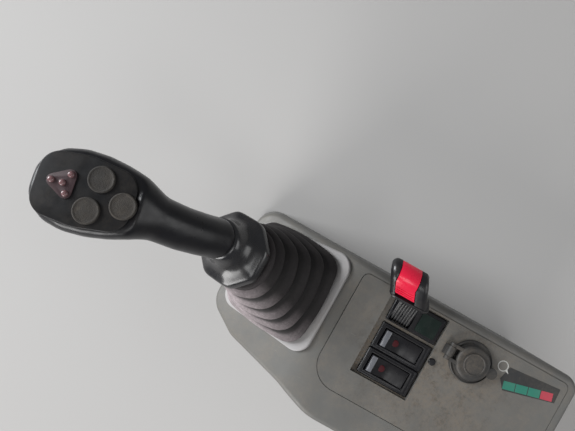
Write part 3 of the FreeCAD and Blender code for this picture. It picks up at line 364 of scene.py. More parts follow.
# %% The list of finishes
CONSOLE_GREY = (0.128, 0.126, 0.118)
FINISH = {
    "console": moulded("console_plastic", CONSOLE_GREY, 0.52, 0.10, 1500, 0.22, 0.34,
                       scuffs=0.35),
    "cover": moulded("cover_plastic", CONSOLE_GREY, 0.52, 0.12, 1500, 0.22, 0.38,
                     scuffs=0.45, extra_dust_and_light=plate_dust, stain=plate_grime),
    "collar": moulded("collar_plastic", (0.37, 0.36, 0.36), 0.42, 0.08, 1500, 0.15, 0.3),
    "switch": moulded("switch_plastic", (0.006, 0.006, 0.008), 0.32, 0.2, 2200, 0.08, 0.04,
                      shine=0.3),
    # paler rib tops: a painted highlight along each rib
    "rib top": moulded("rib_painted_highlight", (0.040, 0.040, 0.040), 0.38, 0.2, 2200, 0.08, 0.12),
    "grip": moulded("grip_plastic", (0.004, 0.004, 0.006), 0.33, 0.15, 900, 0.05, 0.04,
                    scuffs=0.15, shine=0.4),
    "clamp": moulded("clamp_plastic", (0.006, 0.006, 0.008), 0.27, 0.15, 900, 0.04, 0.06,
                     coat=0.3, shine=0.6),
    "face": moulded("face_plastic", (0.006, 0.006, 0.007), 0.42, 0.15, 2400, 0.10, 0.07,
                    shine=0.3),
    "disc": moulded("button_plastic", (0.022, 0.019, 0.016), 0.76, 0.16, 1500, 0.6, 0.16),
    "rose": moulded("cluster_plastic", (0.046, 0.022, 0.026), 0.46, 0.15, 1800, 0.12, 0.12),
    # much paler than the cluster's plastic: a painted highlight on the domed studs
    "stud": moulded("stud_painted_highlight", (0.190, 0.095, 0.100), 0.26, 0.12, 1800, 0.05, 0.1,
                    coat=0.5),
    "knob": moulded("knob_plastic", (0.007, 0.007, 0.009), 0.33, 0.15, 1200, 0.06, 0.10),
    "catch": moulded("catch_plastic", (0.82, 0.008, 0.050), 0.30, 0.06, 1500, 0.05, 0.03,
                     coat=0.3),
    # the boot's pale dust also paints light on its inboard folds, by the share in its mesh
    "boot": moulded("boot_rubber", (0.010, 0.009, 0.009), 0.60, 0.25, 1100, 0.25, 0.04,
                    dust_and_light_colour=(0.40, 0.35, 0.36, 1), extra_dust_and_light=fold_dust_and_light, shine=0.2),
    "socket": moulded("socket_rubber", (0.030, 0.029, 0.028), 0.56, 0.2, 1300, 0.20, 0.34),
    "red lamp": moulded("red_lens", (0.050, 0.002, 0.005), 0.42, 0.1, 900, 0.03, 0.02,
                        shine=0.2),
    "green lens": moulded("green_lens", (0.001, 0.010, 0.006), 0.13, 0.6, 260, 0.10, 0.02,
                          coat=0.3),
    "bar lens": moulded("bar_lens", (0.170, 0.175, 0.195), 0.26, 0.2, 600, 0.05, 0.08,
                        coat=0.4),
    "decal dark": moulded("decal_charcoal", (0.022, 0.023, 0.024), 0.46, 0.15, 1500, 0.10,
                          0.20),
    "decal green": moulded("decal_green", (0.022, 0.200, 0.140), 0.44, 0.10, 1500, 0.10,
                           0.16),
    "decal red": moulded("decal_red", (0.480, 0.045, 0.075), 0.44, 0.10, 1500, 0.10, 0.16),
    "decal white": moulded("decal_white", (0.50, 0.50, 0.48), 0.46, 0.10, 1500, 0.10, 0.3),
    "steel": moulded("bright_steel", (0.42, 0.42, 0.43), 0.30, 0.06, 700, 0.03, 0.0,
                     metallic=1.0),
    "alloy": moulded("cast_alloy", (0.36, 0.36, 0.37), 0.50, 0.08, 500, 0.5, 0.1,
                     metallic=0.8),
    "black steel": moulded("painted_steel", (0.016, 0.016, 0.017), 0.40, 0.15, 700, 0.15,
                           0.10),
}
print("finishes:", len(FINISH))

# %% [markdown]
# ## Smooth CAD surfaces
#
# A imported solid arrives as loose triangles. To shade its fillets smoothly one could model
# every part anew; it is enough to weld the triangles and to split them again only along
# sharp edges, with two live modifiers, because those leave the part's own mesh alone.

# %% Dress the CAD nodes
NODE_FINISH = {
    "base_plate": "black steel", "pod_body": "console", "switch_cover": "cover",
    "inner_switch_body": "switch", "outer_switch_body": "switch",
    "lock_switch_body": "switch", "marker_lens": "green lens", "socket_tube": "switch",
    "socket_ring": "socket", "hole_plug": "switch", "boot_collar": "collar",
    "joystick_housing": "alloy", "boot": "socket", "gimbal_ring": "steel",
    "lever_stem": "steel", "boot_clamp": "clamp", "grip": "grip", "grip_face": "face",
    "left_button": "disc", "right_button": "disc", "rear_button": "disc",
    "signal_cluster": "rose", "inner_rocker": "switch", "inner_bar_lens": "bar lens",
    "inner_lamp": "red lamp", "outer_rocker": "switch", "outer_bar_lens": "bar lens",
    "outer_lamp": "red lamp", "lock_stalk": "switch", "lock_head": "knob",
    "lock_catch": "catch", "socket_cap": "socket",
}
SMOOTH_ANGLE = math.radians(32)
# metres within which two corners are one
SAME_PLACE = 0.00001
for name, part in nodes.items():
    part.data.materials.clear()
    part.data.materials.append(FINISH[NODE_FINISH[name]])
    part.data.polygons.foreach_set("use_smooth", [True] * len(part.data.polygons))
    weld = part.modifiers.new("weld", "WELD")
    weld.merge_threshold = SAME_PLACE
    split = part.modifiers.new("sharp_edges", "EDGE_SPLIT")
    split.split_angle = SMOOTH_ANGLE
print("CAD nodes dressed:", len(nodes))

# %% [markdown]
# ## The bellows boot
#
# The real boot is dipped or moulded rubber: a foot clipped under the collar, five broad
# folds and a narrow neck under the clamp. Each fold is a sloping upper face that ends in
# a lip, with a deep valley tucked under the next fold, so from above one sees pale,
# dusty slopes divided by dark lines. A displaced surface would blur those lips. Here a
# rounded square is extruded row by row, in the frame of the sloping panel, and turned a
# little towards a circle at each row. The lever tilts about two axes, and the boot is made
# in two halves that meet in a valley: the lower half has the foot and three folds, the
# upper half the other two and the neck.

# %% The rows of the boot
SLOPE = Matrix.Translation((0.0195, 0.113, 0.105286)) @ Matrix.Rotation(
    math.radians(-25), 4, "X")
CLAMP_LOW = 75.5
FOLDS = 5
FOLD_PITCH = 14
FIRST_CREST, FIRST_WIDE, LAST_WIDE = 10, 96, 63
# height and width of each row of the foot under the collar, and of the neck
FOOT_ROWS = [(0.6, 79), (5.2, 79), (6.8, 77.5)]
NECK_ROWS = [(71.0, 51), (71.6, 54.5), (73.6, 55.0), (74.8, 52), (75.4, 44)]
# rows of one fold, from under its lip to its valley: rise from the crest, width change
FOLD_ROWS = ((-1.9, -9.0), (-1.7, -2.6), (-0.9, -0.3), (0.5, -0.3), (3.2, -3.0),
             (8.0, -11.0), (10.4, -17.5))


def fold(index):
    """Height and width of each row of one fold."""
    crest = FIRST_CREST + FOLD_PITCH * index
    wide = FIRST_WIDE + (LAST_WIDE - FIRST_WIDE) * index / (FOLDS - 1)
    return [(crest + rise, wide + change) for rise, change in FOLD_ROWS]


# the halves share a valley, and the top fold runs straight into the neck
lower_rows = FOOT_ROWS + fold(0) + fold(1) + fold(2)
upper_rows = [lower_rows[-1]] + fold(3) + fold(4)[:-2] + NECK_ROWS
print("rows in the halves:", len(lower_rows), len(upper_rows))

# the boot's middle line: its start above the foot, how far it leans and how it bends
FOOT_HIGH = 6
ASIDE, AHEAD, ASIDE_LEAN, AHEAD_LEAN, BEND = -3, 1.5, 12, 13.5, 1.4


def row_middle(high):
    """Where the boot's middle is at a height: its foot is centred, then it leans."""
    if high <= FOOT_HIGH:
        return Vector((0, 0, high * MM))
    share = high / CLAMP_LOW
    return Vector((ASIDE + ASIDE_LEAN * share, AHEAD + AHEAD_LEAN * share ** BEND,
                   high)) * MM


# %% Steps that every new piece repeats
def start(name, add, **how):
    """Add a basic mesh under a name and open it in edit mode, all of it selected."""
    bpy.ops.object.select_all(action="DESELECT")
    add(**how)
    piece = bpy.context.object
    piece.name = name
    bpy.ops.object.mode_set(mode="EDIT")
    bpy.ops.mesh.select_all(action="SELECT")
    return piece


def close():
    """Turn all faces outward and leave edit mode."""
    bpy.ops.mesh.select_all(action="SELECT")
    bpy.ops.mesh.normals_make_consistent(inside=False)
    bpy.ops.object.mode_set(mode="OBJECT")


def selected_box():
    """Lowest and highest corner of the selected vertices in edit mode."""
    mesh = bmesh.from_edit_mesh(bpy.context.object.data)
    points = [vertex.co for vertex in mesh.verts if vertex.select]
    return (Vector([min(point[axis] for point in points) for axis in range(3)]),
            Vector([max(point[axis] for point in points) for axis in range(3)]))


def fit_row(high, wide):
    """Bring the selected loop to a row's height, width and middle."""
    low, top = selected_box()
    middle = (low + top) / 2
    bpy.ops.transform.resize(value=(wide * MM / (top.x - low.x),
                                    wide * MM / (top.y - low.y), 1),
                             center_override=middle)
    bpy.ops.transform.translate(value=row_middle(high) - middle)


print("a row at 40 mm has its middle at", row_middle(40) / MM)

# %% [markdown]
# Dust settles on the folds' pale upper faces. The same share paints light and shade too:
# it falls to nothing in the valleys, which stay dark as painted shade, and it is highest
# on the inboard side, as painted light from that side. A noise pattern can't know where a
# fold is, so each vertex gets its share here, and the finish reads it.

# %% Dust, painted light and painted shade on the folds
# the share is nothing in the valleys, so they stay dark: painted shade
# rise from the crest, share
DUST_AND_SHADE_ROWS = ((-1.9, 0.0), (-1.1, 0.03), (-0.5, 0.85), (0.6, 1.0), (5.0, 0.85), (6.6, 0.20),
             (8.0, 0.03), (12.1, 0.0))
PLAIN_SHARE = 0.1


def dust_and_light_share(rise, place):
    """Dust on the crests; none in the valleys (painted shade), most inboard (painted
    light).
    """
    if not FOOT_HIGH < place.z / MM < NECK_ROWS[0][0]:
        return PLAIN_SHARE
    out = (place - row_middle(place.z / MM)).normalized()
    # the share grows towards the inboard side: painted light from that side
    side = 0.05 + 0.95 * min(1, max(0, 0.10 + 0.4 * out.y - out.x))
    for (low, first), (top, second) in zip(DUST_AND_SHADE_ROWS, DUST_AND_SHADE_ROWS[1:]):
        if rise <= top:
            return side * (first + (second - first) * (rise - low) / (top - low))
    return 0.0


inboard = row_middle(20) + Vector((-30, 0, 0)) * MM
print("dust on the inboard side of a crest:", round(dust_and_light_share(1.0, inboard), 2))

# %% Extrude the halves
ROUNDING = 0.06
# metres: side of the square, radius of its corners, thickness of the rubber
SQUARE, CORNER, WALL = 0.08, 0.0145, 0.0016
# an edge longer than this is one of the square's sides
LONG_EDGE = 0.02


def bellows(name, rows, roundings_before):
    """One half of the boot: a rounded square extruded through rows, then a wall."""
    boot = start(name, bpy.ops.mesh.primitive_plane_add, size=SQUARE)
    bpy.ops.mesh.bevel(offset=CORNER, affect="VERTICES", segments=6)
    bpy.ops.mesh.delete(type="ONLY_FACE")
    bpy.ops.mesh.select_mode(type="EDGE")
    mesh = bmesh.from_edit_mesh(boot.data)
    for edge in mesh.edges:
        edge.select_set(edge.calc_length() > LONG_EDGE)
    bpy.ops.mesh.subdivide(number_cuts=5)
    bpy.ops.mesh.select_all(action="SELECT")
    for _ in range(roundings_before):
        bpy.ops.transform.tosphere(value=ROUNDING)
    fit_row(*rows[0])
    for high, wide in rows[1:]:
        bpy.ops.mesh.extrude_edges_move()
        bpy.ops.transform.tosphere(value=ROUNDING)
        fit_row(high, wide)
    close()
    wall = boot.modifiers.new("wall", "SOLIDIFY")
    wall.thickness = WALL
    wall.offset = -1
    round_off = boot.modifiers.new("round_off", "SUBSURF")
    round_off.levels = round_off.render_levels = 2
    bpy.ops.object.modifier_apply(modifier="wall")
    bpy.ops.object.modifier_apply(modifier="round_off")
    bpy.ops.object.shade_smooth()
    # each vertex's share of dust, painted light and painted shade
    shares = boot.data.attributes.new("dust_and_light_share", "FLOAT", "POINT")
    for share, vertex in zip(shares.data, boot.data.vertices):
        rise = (vertex.co.z / MM - FIRST_CREST - FOLD_ROWS[0][0]) % FOLD_PITCH
        share.value = dust_and_light_share(rise + FOLD_ROWS[0][0], vertex.co)
    boot.data.transform(SLOPE)
    boot.data.materials.append(FINISH["boot"])
    print(name, "faces:", len(boot.data.polygons))
    return boot


lower_boot = bellows("lower_boot", lower_rows, 0)
upper_boot = bellows("upper_boot", upper_rows, len(lower_rows) - 1)


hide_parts("boot")
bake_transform(lower_boot)
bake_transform(upper_boot)

# %% [markdown]
# ## Rounded copies of CAD parts
#
# Real moulded edges have a small radius that catches the light. CAD leaves them out,
# because a hundred tiny fillets make a heavy model. Here a part is copied, its triangles
# are merged back into faces, and the sharp edges get a narrow bevel. The copy then
# stands for the CAD part, which stays underneath for the collisions, hidden.

# %% The copying tools


def pick(piece):
    """Select one object alone and make it active."""
    bpy.ops.object.select_all(action="DESELECT")
    piece.select_set(True)
    bpy.context.view_layer.objects.active = piece


def merged_copy(name, new_name):
    """A copy of a CAD part whose loose triangles are joined into one skin."""
    piece = bpy.data.objects.new(new_name, nodes[name].data.copy())
    bpy.context.scene.collection.objects.link(piece)
    pick(piece)
    bpy.ops.object.mode_set(mode="EDIT")
    bpy.ops.mesh.select_all(action="SELECT")
    bpy.ops.mesh.remove_doubles(threshold=SAME_PLACE)
    bpy.ops.object.mode_set(mode="OBJECT")
    return piece


def apply_all(piece):
    """Apply every modifier of a piece, in order."""
    pick(piece)
    for modifier in list(piece.modifiers):
        bpy.ops.object.modifier_apply(modifier=modifier.name)


def join_flats():
    """Join the triangles of each flat face of the active piece."""
    bpy.ops.object.mode_set(mode="EDIT")
    bpy.ops.mesh.select_all(action="SELECT")
    bpy.ops.mesh.dissolve_limited(angle_limit=math.radians(0.6))
    bpy.ops.object.mode_set(mode="OBJECT")


def finish_edges(piece, width, steps=3, sharp=30):
    """Round the edges of a piece and shade it smooth."""
    edge = piece.modifiers.new("edge", "BEVEL")
    edge.width = width
    edge.segments = steps
    edge.limit_method = "ANGLE"
    edge.angle_limit = math.radians(sharp)
    apply_all(piece)
    bpy.ops.object.shade_smooth_by_angle(angle=math.radians(35))


def stand_for(piece, name, finish):
    """Let a finished piece replace a CAD part and ride where it rides."""
    piece.data.materials.clear()
    piece.data.materials.append(FINISH[finish])
    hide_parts(name)
    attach(piece, nodes[name]["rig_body"])
    print(piece.name, "faces:", len(piece.data.polygons))


def rounded(name, new_name, width, finish, steps=3, sharp=28):
    """A merged copy with a narrow bevel on its sharp edges."""
    piece = merged_copy(name, new_name)
    join_flats()
    finish_edges(piece, width, steps, sharp)
    stand_for(piece, name, finish)


print("copying tools ready")

# %% [markdown]
# The grip is one soft moulding, so its lengthwise edges are rounder than any bevel. A
# copy is rebuilt from even small squares and relaxed, which melts the edges between its
# sections and keeps the flat face.

# %% The grip and its face
grip_skin = merged_copy("grip", "grip_skin")
rebuild = grip_skin.modifiers.new("rebuild", "REMESH")
rebuild.mode = "VOXEL"
rebuild.voxel_size = 0.0011
relax = grip_skin.modifiers.new("relax", "SMOOTH")
relax.factor = 0.5
relax.iterations = 44
apply_all(grip_skin)
bpy.ops.object.shade_smooth()
stand_for(grip_skin, "grip", "grip")

rounded("grip_face", "face_skin", 0.0014, "face", 5)

# %% [markdown]
# The clamp is an eight-sided collar: a low rim, then a hollow cone that turns from eight
# soft sides to the round neck. Filleting a true octagon would do for the rim but not for
# the cone. A circle is extruded through rows along the stem's slanted middle line, as the
# boot was, and each row is drawn to its own share of a rounded octagon.

# %% The clamp's collar
CLAMP_SIDES = 64
# height above the boot, width across the flats, share of the octagon
CLAMP_ROWS = ((1.5, 50, 1), (1.5, 56, 1), (2.0, 57.4, 1), (3.0, 58, 1), (7.2, 58, 1),
              (8.4, 57.2, 1), (9.4, 55.2, 1), (10.5, 51.6, 0.95), (12.0, 47, 0.85),
              (14.2, 42, 0.6), (17.2, 38, 0.3), (21.5, 35.0, 0.1), (26, 33.2, 0),
              (30.5, 32, 0), (30.5, 26, 0))
# the rim sits a little off the stem's line, and the shift fades out up the cone
CLAMP_LEAN = Vector((-0.4, 4.2, 0)) * MM
LEAN_FROM, LEAN_OVER = 9, 17
# the higher, the sharper the octagon's corners
CRISP = 26
# the stem's middle line: from and to a height above the slope, and its slant
STEM_LOW, STEM_TOP, STEM_ASIDE, STEM_AHEAD = 26, 89, 11.5, 19


def stem_middle(high):
    """Middle of the stem at a height above the slope."""
    share = (high - STEM_LOW) / (STEM_TOP - STEM_LOW)
    return Vector((STEM_ASIDE * share, STEM_AHEAD * share, high)) * MM


def octagon(angle, share):
    """Reach of a rounded octagon with flats 1 away, or of a circle for a share of 0."""
    near = sum(abs(math.cos(angle - math.radians(45 * side))) ** CRISP
               for side in range(4))
    return 1 + share * (near ** (-1 / CRISP) - 1)


clamp_skin = start("clamp_skin", bpy.ops.mesh.primitive_circle_add,
                   vertices=CLAMP_SIDES, radius=0.03)
for count, (rise, flats, share) in enumerate(CLAMP_ROWS):
    if count:
        bpy.ops.mesh.extrude_edges_move()
    lean = CLAMP_LEAN * max(0, 1 - max(0, rise - LEAN_FROM) / LEAN_OVER)
    middle = stem_middle(CLAMP_LOW + rise) + lean
    loop = [vertex for vertex in bmesh.from_edit_mesh(clamp_skin.data).verts
            if vertex.select]
    centre = sum((vertex.co for vertex in loop), Vector()) / len(loop)
    for vertex in loop:
        away = vertex.co - centre
        angle = math.atan2(away.y, away.x)
        reach = octagon(angle, share) * flats / 2 * MM
        vertex.co = middle + Vector((math.cos(angle), math.sin(angle), 0)) * reach
    bmesh.update_edit_mesh(clamp_skin.data)
bpy.ops.mesh.select_all(action="SELECT")
bpy.ops.mesh.fill_holes(sides=CLAMP_SIDES)
close()
soft = clamp_skin.modifiers.new("soft", "SUBSURF")
soft.levels = soft.render_levels = 1
apply_all(clamp_skin)
bpy.ops.object.shade_smooth_by_angle(angle=math.radians(50))
clamp_skin.data.transform(SLOPE)
stand_for(clamp_skin, "boot_clamp", "clamp")

# %% [markdown]
# ## Thumb buttons and signal cluster
#
# The buttons are dished discs with a proud edge and a fine stipple; the cluster is a
# small three-cornered plate with four domed studs. Round parts like these would be
# lathed: here a disc is raised and inset step by step, which is the same profile turned.

# %% Round parts by raise and inset
# the grip's place above the slope, its turn and its tilt
GRIP_PLACE, GRIP_TURN, GRIP_TILT = (6.5, 67.4, 184.4), 14, 27
ON_GRIP = (SLOPE @ Matrix.Translation(Vector(GRIP_PLACE) * MM)
           @ Matrix.Rotation(math.radians(GRIP_TURN), 4, "Z")
           @ Matrix.Rotation(math.radians(GRIP_TILT), 4, "X"))


def turned(name, radius, steps, corners=48):
    """A round part: a disc, extruded once, then inset and raised step by step."""
    piece = start(name, bpy.ops.mesh.primitive_circle_add, vertices=corners,
                  radius=radius * MM, fill_type="NGON")
    bpy.ops.mesh.extrude_region_move()
    for inset, rise in steps:
        if inset:
            bpy.ops.mesh.inset(thickness=inset * MM)
        bpy.ops.transform.translate(value=(0, 0, rise * MM))
    close()
    bpy.ops.object.shade_smooth_by_angle(angle=math.radians(50))
    return piece


FACE_LEVEL = 12.2
BUTTON_RADIUS = 8.4
BUTTON_PLACES = (("left", -10.5, -0.6), ("right", 10.2, -3.4), ("rear", -1.8, -20.6))
# pairs of inset and rise
BUTTON_STEPS = ((0, 1.0), (0.25, 0.35), (0.35, 0.20), (0.45, 0.0), (0.4, -0.18),
                (0.7, -0.10), (2.5, 0.06), (2.5, 0.03))
for name, across, along in BUTTON_PLACES:
    button = turned(f"{name}_disc", BUTTON_RADIUS, BUTTON_STEPS)
    button.data.transform(ON_GRIP @ Matrix.Translation(
        Vector((across, along, FACE_LEVEL)) * MM))
    stand_for(button, f"{name}_button", "disc")

# %% [markdown]
# The cluster's plate is a rounded copy. Its studs are domes of 4 mm, one in each corner
# and one in the middle. They are turned like the buttons, then joined, because they never
# move apart.

# %% The cluster and its studs
rounded("signal_cluster", "cluster_skin", 0.0004, "rose")
STUD_STEPS = ((0, 0.9), (0.25, 0.45), (0.4, 0.35), (0.45, 0.15), (0.35, 0.03))
STUD_RADIUS, CLUSTER_SIDE = 2.0, 24
CLUSTER_MIDDLE = Vector((1.8, 17.8, FACE_LEVEL + 0.7))
# half the way from the middle of the three-cornered plate to its corner
reach = CLUSTER_SIDE / math.sqrt(3) * 0.5
studs = []
for turn, share in ((0, 1), (120, 1), (240, 1), (0, 0)):
    angle = math.radians(turn)
    out = Vector((math.sin(angle), math.cos(angle), 0)) * reach * share
    stud = turned("stud", STUD_RADIUS, STUD_STEPS, 24)
    stud.data.transform(ON_GRIP @ Matrix.Translation((CLUSTER_MIDDLE + out) * MM))
    studs.append(stud)
bpy.ops.object.select_all(action="DESELECT")
for stud in studs:
    stud.select_set(True)
bpy.context.view_layer.objects.active = studs[0]
bpy.ops.object.join()
studs = bpy.context.object
studs.name = "cluster_studs"
# the studs' paler finish is a painted highlight
studs.data.materials.append(FINISH["stud"])
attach(studs, "lever")
print("studs:", len(studs.data.polygons))

# %% [markdown]
# ## The locking paddle
#
# Its stalk is as wide as the well in its switch body, with seven ribs up the face for
# the thumb. They could be a striped bump, but real ribs keep their edge when seen from
# the side. A grid of fifteen columns is thickened, and every second column is raised.

# %% The ribbed stalk
PADDLE_PLACE, PADDLE_TILT = (43.5, 6.2, 124.1), 52
PADDLE = (Matrix.Translation(Vector(PADDLE_PLACE) * MM)
          @ Matrix.Rotation(math.radians(PADDLE_TILT), 4, "Y"))
# the flat drawing's x runs to the paddle's rear, its y up the stalk, its z inboard
ON_STALK = PADDLE @ Matrix(((0, 0, -1, -3.4 * MM), (-1, 0, 0, 0), (0, 1, 0, 0),
                            (0, 0, 0, 1)))
COLUMNS = 15
STALK_WIDE, STALK_THICK, STALK_SHIFT, RIB_HIGH = 18.8, 7.0, -1.3, 1.1
START_LONG, AWAY = 30, 100
# rows of the face: up the stalk, out of it, aside to the front
STALK_ROWS = ((-3.0, 0.7, 0), (25.5, 0, 3.6))


def select_where(piece, test, kind="verts"):
    """Select the vertices or faces of the piece in edit mode whose middle passes."""
    bpy.ops.mesh.select_mode(type="VERT" if kind == "verts" else "FACE")
    bpy.ops.mesh.select_all(action="DESELECT")
    mesh = bmesh.from_edit_mesh(piece.data)
    for item in getattr(mesh, kind):
        middle = item.co if kind == "verts" else item.calc_center_median()
        if test(middle / MM):
            item.select_set(True)
    mesh.select_flush_mode()
    bmesh.update_edit_mesh(piece.data)


def pull(high):
    """Extrude the selected faces along Z by millimetres."""
    bpy.ops.mesh.extrude_region_move(TRANSFORM_OT_translate={"value": (0, 0, high * MM)})


stalk_skin = start("stalk_skin", bpy.ops.mesh.primitive_grid_add,
                   x_subdivisions=COLUMNS, y_subdivisions=1, size=0.001)
bpy.ops.transform.resize(value=(STALK_WIDE, START_LONG, 1))
bpy.ops.transform.translate(value=(STALK_SHIFT * MM, 0, 0))
for row, (up, out, aside) in enumerate(STALK_ROWS):
    # a row moves well away, so that the next one is alone at its start
    old = START_LONG * (row - 0.5)
    select_where(stalk_skin, lambda at: abs(at.y - old) < 0.1)
    bpy.ops.transform.translate(value=(-aside * MM, (AWAY + up - old) * MM, out * MM))
bpy.ops.mesh.select_all(action="SELECT")
bpy.ops.transform.translate(value=(0, -AWAY * MM, 0))
pull(-STALK_THICK)


def is_rib(at):
    """True for the middle of a front face in an odd column."""
    foot, top = STALK_ROWS
    lean = top[2] * (at.y - foot[0]) / (top[0] - foot[0])
    column = (at.x + lean - STALK_SHIFT + STALK_WIDE / 2) / (STALK_WIDE / COLUMNS)
    return at.z > -0.5 and at.y > foot[0] + 0.1 and int(column) % 2 == 1


select_where(stalk_skin, is_rib, "faces")
pull(RIB_HIGH)
mesh = bmesh.from_edit_mesh(stalk_skin.data)
# the raised rib tops take the second, paler finish: a painted highlight
for face in mesh.faces:
    face.material_index = int(face.select)
close()
stalk_skin.data.materials.append(FINISH["switch"])
stalk_skin.data.materials.append(FINISH["rib top"])
finish_edges(stalk_skin, 0.00022, 2, 40)
stalk_skin.data.transform(ON_STALK)
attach(stalk_skin, "paddle")
print("stalk faces:", len(stalk_skin.data.polygons))

# %% [markdown]
# The paddle's head and its red catch are soft to the thumb. Their shapes are all in the
# CAD parts already, so a rounded copy of each is enough.

# %% Head and catch
rounded("lock_head", "head_skin", 0.0010, "knob")
rounded("lock_catch", "catch_skin", 0.0009, "catch")

# %% [markdown]
# ## Rocker switches
#
# Each switch is a broad, flat bezel round a narrow rocker, with a raised pale bar across
# its front and a dark red lamp behind it. The rocker's top is a shallow valley: a strip
# is cut into rows, each row is brought to its height, and the strip is thickened.

# %% Rockers
ROCKER_WIDE, ROCKER_THICK = 16, 6
# level of the lowest line, place of the pivot, and each slope's rise over its length
ROCKER_LEVEL, PIVOT, SLOPE_LONG = 127.5, -5, 21
FRONT_RISE, REAR_RISE, LEAST_RISE = 3.8, 2.2, 0.25
# the rows start over a metre, so that each is easy to pick
ROWS_OVER = 1000
ROCKER_ROWS = (14.6, 10, 5, 0, -3, -5, -7, -11, -16, -22.4)


def rocker_top(along):
    """Height of the rocker's top, level with the CAD rocker's two slopes."""
    rise = FRONT_RISE if along > PIVOT else REAR_RISE
    return ROCKER_LEVEL + max(rise * abs(along - PIVOT) / SLOPE_LONG, LEAST_RISE)


def rocker_skin(name, across):
    """A narrow rocker, drawn at its place."""
    gaps = len(ROCKER_ROWS) - 1
    piece = start(name, bpy.ops.mesh.primitive_grid_add, x_subdivisions=1,
                  y_subdivisions=gaps, size=0.001)
    bpy.ops.transform.resize(value=(ROCKER_WIDE, ROWS_OVER, 1))
    bpy.ops.transform.translate(value=(across * MM, 0, 0))
    for row, along in enumerate(ROCKER_ROWS):
        old = ROWS_OVER * (0.5 - row / gaps)
        select_where(piece, lambda at: abs(at.y - old) < 1e-3 and at.z < 1)
        bpy.ops.transform.translate(value=(0, (along - old) * MM, rocker_top(along) * MM))
    bpy.ops.mesh.select_all(action="SELECT")
    pull(-ROCKER_THICK)
    close()
    finish_edges(piece, 0.0006)
    return piece


print("rocker top at its front, middle and rear:",
      [round(rocker_top(ROCKER_ROWS[row]), 2) for row in (0, 5, -1)])

# %% [markdown]
# The bezel round a rocker is a flat, broad rim. The CAD case leaves a wider opening, so
# a ring narrows it: a plate is inset, its middle is taken out, and the rest is thickened.


# %% Bezels
BEZEL_WIDE, BEZEL_LONG, BEZEL_TOP, BEZEL_THICK = 22.6, 44.6, 128.62, 3
# width of the rim, and how far the opening sits to the front
BEZEL_RIM, OPENING_SHIFT = 2.9, 1.1


def bezel_frame(name, across):
    """A flat ring that narrows the case's opening down to the rocker."""
    piece = start(name, bpy.ops.mesh.primitive_plane_add, size=0.001)
    bpy.ops.transform.resize(value=(BEZEL_WIDE, BEZEL_LONG, 1))
    bpy.ops.transform.translate(value=(across * MM, PIVOT * MM, BEZEL_TOP * MM))
    bpy.ops.mesh.inset(thickness=BEZEL_RIM * MM)
    bpy.ops.transform.translate(value=(0, OPENING_SHIFT * MM, 0))
    bpy.ops.mesh.delete(type="FACE")
    bpy.ops.mesh.select_all(action="SELECT")
    pull(-BEZEL_THICK)
    close()
    finish_edges(piece, 0.0005, 2)
    piece.data.materials.append(FINISH["switch"])
    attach(piece, "console")
    print(name, "faces:", len(piece.data.polygons))


print("opening of a bezel:",
      [round(side - 2 * BEZEL_RIM, 1) for side in (BEZEL_WIDE, BEZEL_LONG)])

# %% [markdown]
# The pale bar is a clear block that stands proud of the rocker, a little longer than its
# place in the CAD part, so its copy is stretched before its edges are rounded. The cases
# of the switches are plain rounded copies. Both switches are alike, so one loop makes
# the four pieces of each.

# %% Both switches and their cases
# where the middle line of each switch runs across the cover
SIDES = (("inner", -4.6), ("outer", 21.1))
# the bar's middle in the CAD part, how it grows about it, and how far it is lifted
BAR_ALONG, BAR_LEVEL, BAR_GROWTH, BAR_LIFT = 11.5, 130.2, (1.06, 1.5, 1.25, 1), 0.3
for side, across in SIDES:
    stand_for(rocker_skin(f"{side}_rocker_skin", across), f"{side}_rocker", "switch")
    bezel_frame(f"{side}_frame", across)
    bar = merged_copy(f"{side}_bar_lens", f"{side}_bar")
    middle = Vector((across, BAR_ALONG, BAR_LEVEL))
    bar.data.transform(Matrix.Translation((middle + Vector((0, 0, BAR_LIFT))) * MM)
                       @ Matrix.Diagonal(BAR_GROWTH)
                       @ Matrix.Translation(-middle * MM))
    join_flats()
    finish_edges(bar, 0.0004)
    stand_for(bar, f"{side}_bar_lens", "bar lens")
    rounded(f"{side}_switch_body", f"{side}_case", 0.0005, "switch")
rounded("lock_switch_body", "lock_case", 0.0005, "switch")

# %% [markdown]
# ## The socket's cap
#
# The cap is soft plastic: a low dome with a raised ring round its crown. The field inside
# the ring is left bare.

# %% Cap and ring
rounded("socket_ring", "ring_skin", 0.0004, "socket")
rounded("socket_cap", "cap_skin", 0.0006, "socket")
CROWN_STEPS = ((0, 0.9), (0.3, 0.35), (0.3, 0.12), (0.5, 0.0), (0.3, -0.15),
               (0.3, -0.45), (0.4, -0.1), (3.0, 0.05))
CROWN_RADIUS, CROWN_PLACE = 9.9, (40, -64, 139.2)
crown = turned("cap_crown", CROWN_RADIUS, CROWN_STEPS, 64)
crown.data.transform(Matrix.Translation(Vector(CROWN_PLACE) * MM))
crown.data.materials.append(FINISH["socket"])
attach(crown, "cap")
print("crown faces:", len(crown.data.polygons))

# %% [markdown]
# ## The printed decal
#
# Behind the socket a decal shows a dark wedge with three green fields and a red one, and
# a small round sign with a pointer. A printed mark could be a picture; here each field is
# a film of its own, one or two tenths of a millimetre thick, with its corners put in
# place.

# %% Films on the cover
COVER_TOP = 130.0


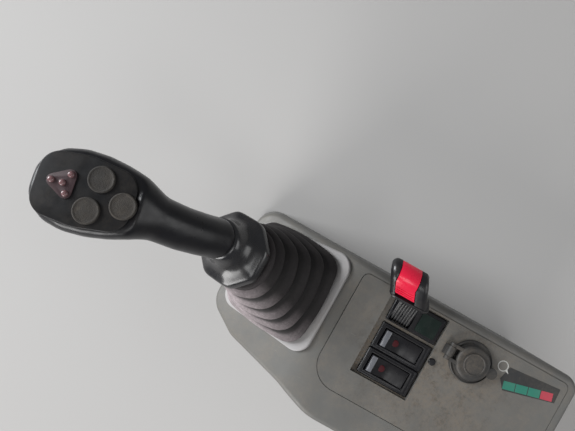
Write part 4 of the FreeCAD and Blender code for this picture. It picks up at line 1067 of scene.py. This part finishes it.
def film(name, corners, thick, finish):
    """A thin film with the given corners on top of the cover."""
    piece = start(name, bpy.ops.mesh.primitive_circle_add, vertices=len(corners),
                  radius=1, fill_type="NGON")
    olds = [vertex.co.copy() for vertex in bmesh.from_edit_mesh(piece.data).verts]
    for old, (x, y) in zip(olds, corners):
        select_where(piece, lambda at: (at * MM - old).length < 1e-5)
        bpy.ops.transform.translate(value=Vector((x, y, COVER_TOP)) * MM - old)
    bpy.ops.mesh.select_all(action="SELECT")
    pull(thick)
    close()
    finish_edges(piece, 0.00004, 1)
    piece.data.materials.append(FINISH[finish])
    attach(piece, "console")
    print(name, "faces:", len(piece.data.polygons))


WEDGE = ((53.0, -98), (57.5, -147), (44.0, -148), (31.5, -101.5), (40, -95))
POINTER = ((47.8, -96.0), (50.2, -96.6), (46.6, -99.6))
WEDGE_THICK, FIELD_THICK, POINTER_THICK = 0.10, 0.16, 0.20
film("decal_wedge", WEDGE, WEDGE_THICK, "decal dark")
# four fields lie side by side along the wedge
FIELD_LONG, FIELD_WIDE = Vector((11.5, -45)) / 4, Vector((-7.2, -1.9))
FIRST_CORNER = Vector((39.8, -98.6))
for count, paint in enumerate(("green", "green", "green", "red")):
    # a narrow dark gap stays between two fields
    near = FIRST_CORNER + FIELD_LONG * (count + 0.03)
    far = FIRST_CORNER + FIELD_LONG * (count + 0.97)
    film(f"decal_field_{count + 1}", (near, far, far + FIELD_WIDE, near + FIELD_WIDE),
         FIELD_THICK, f"decal {paint}")
film("decal_pointer", POINTER, POINTER_THICK, "decal white")

# %% [markdown]
# The sign is a printed ring. It is turned as a thin disc; then its upper and lower face
# are inset and bridged, which cuts the hole.

# %% The sign
SIGN_RADIUS, SIGN_RING, SIGN_MIDDLE = 4.9, 0.8, (51, -92)
sign = turned("decal_sign", SIGN_RADIUS, ((0, FIELD_THICK),), 48)
bpy.ops.object.mode_set(mode="EDIT")
select_where(sign, lambda at: at.length < 1, "faces")
bpy.ops.mesh.inset(thickness=SIGN_RING * MM)
bpy.ops.mesh.bridge_edge_loops()
close()
sign.data.transform(Matrix.Translation(Vector((*SIGN_MIDDLE, COVER_TOP)) * MM))
sign.data.materials.append(FINISH["decal white"])
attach(sign, "console")
print("sign faces:", len(sign.data.polygons))
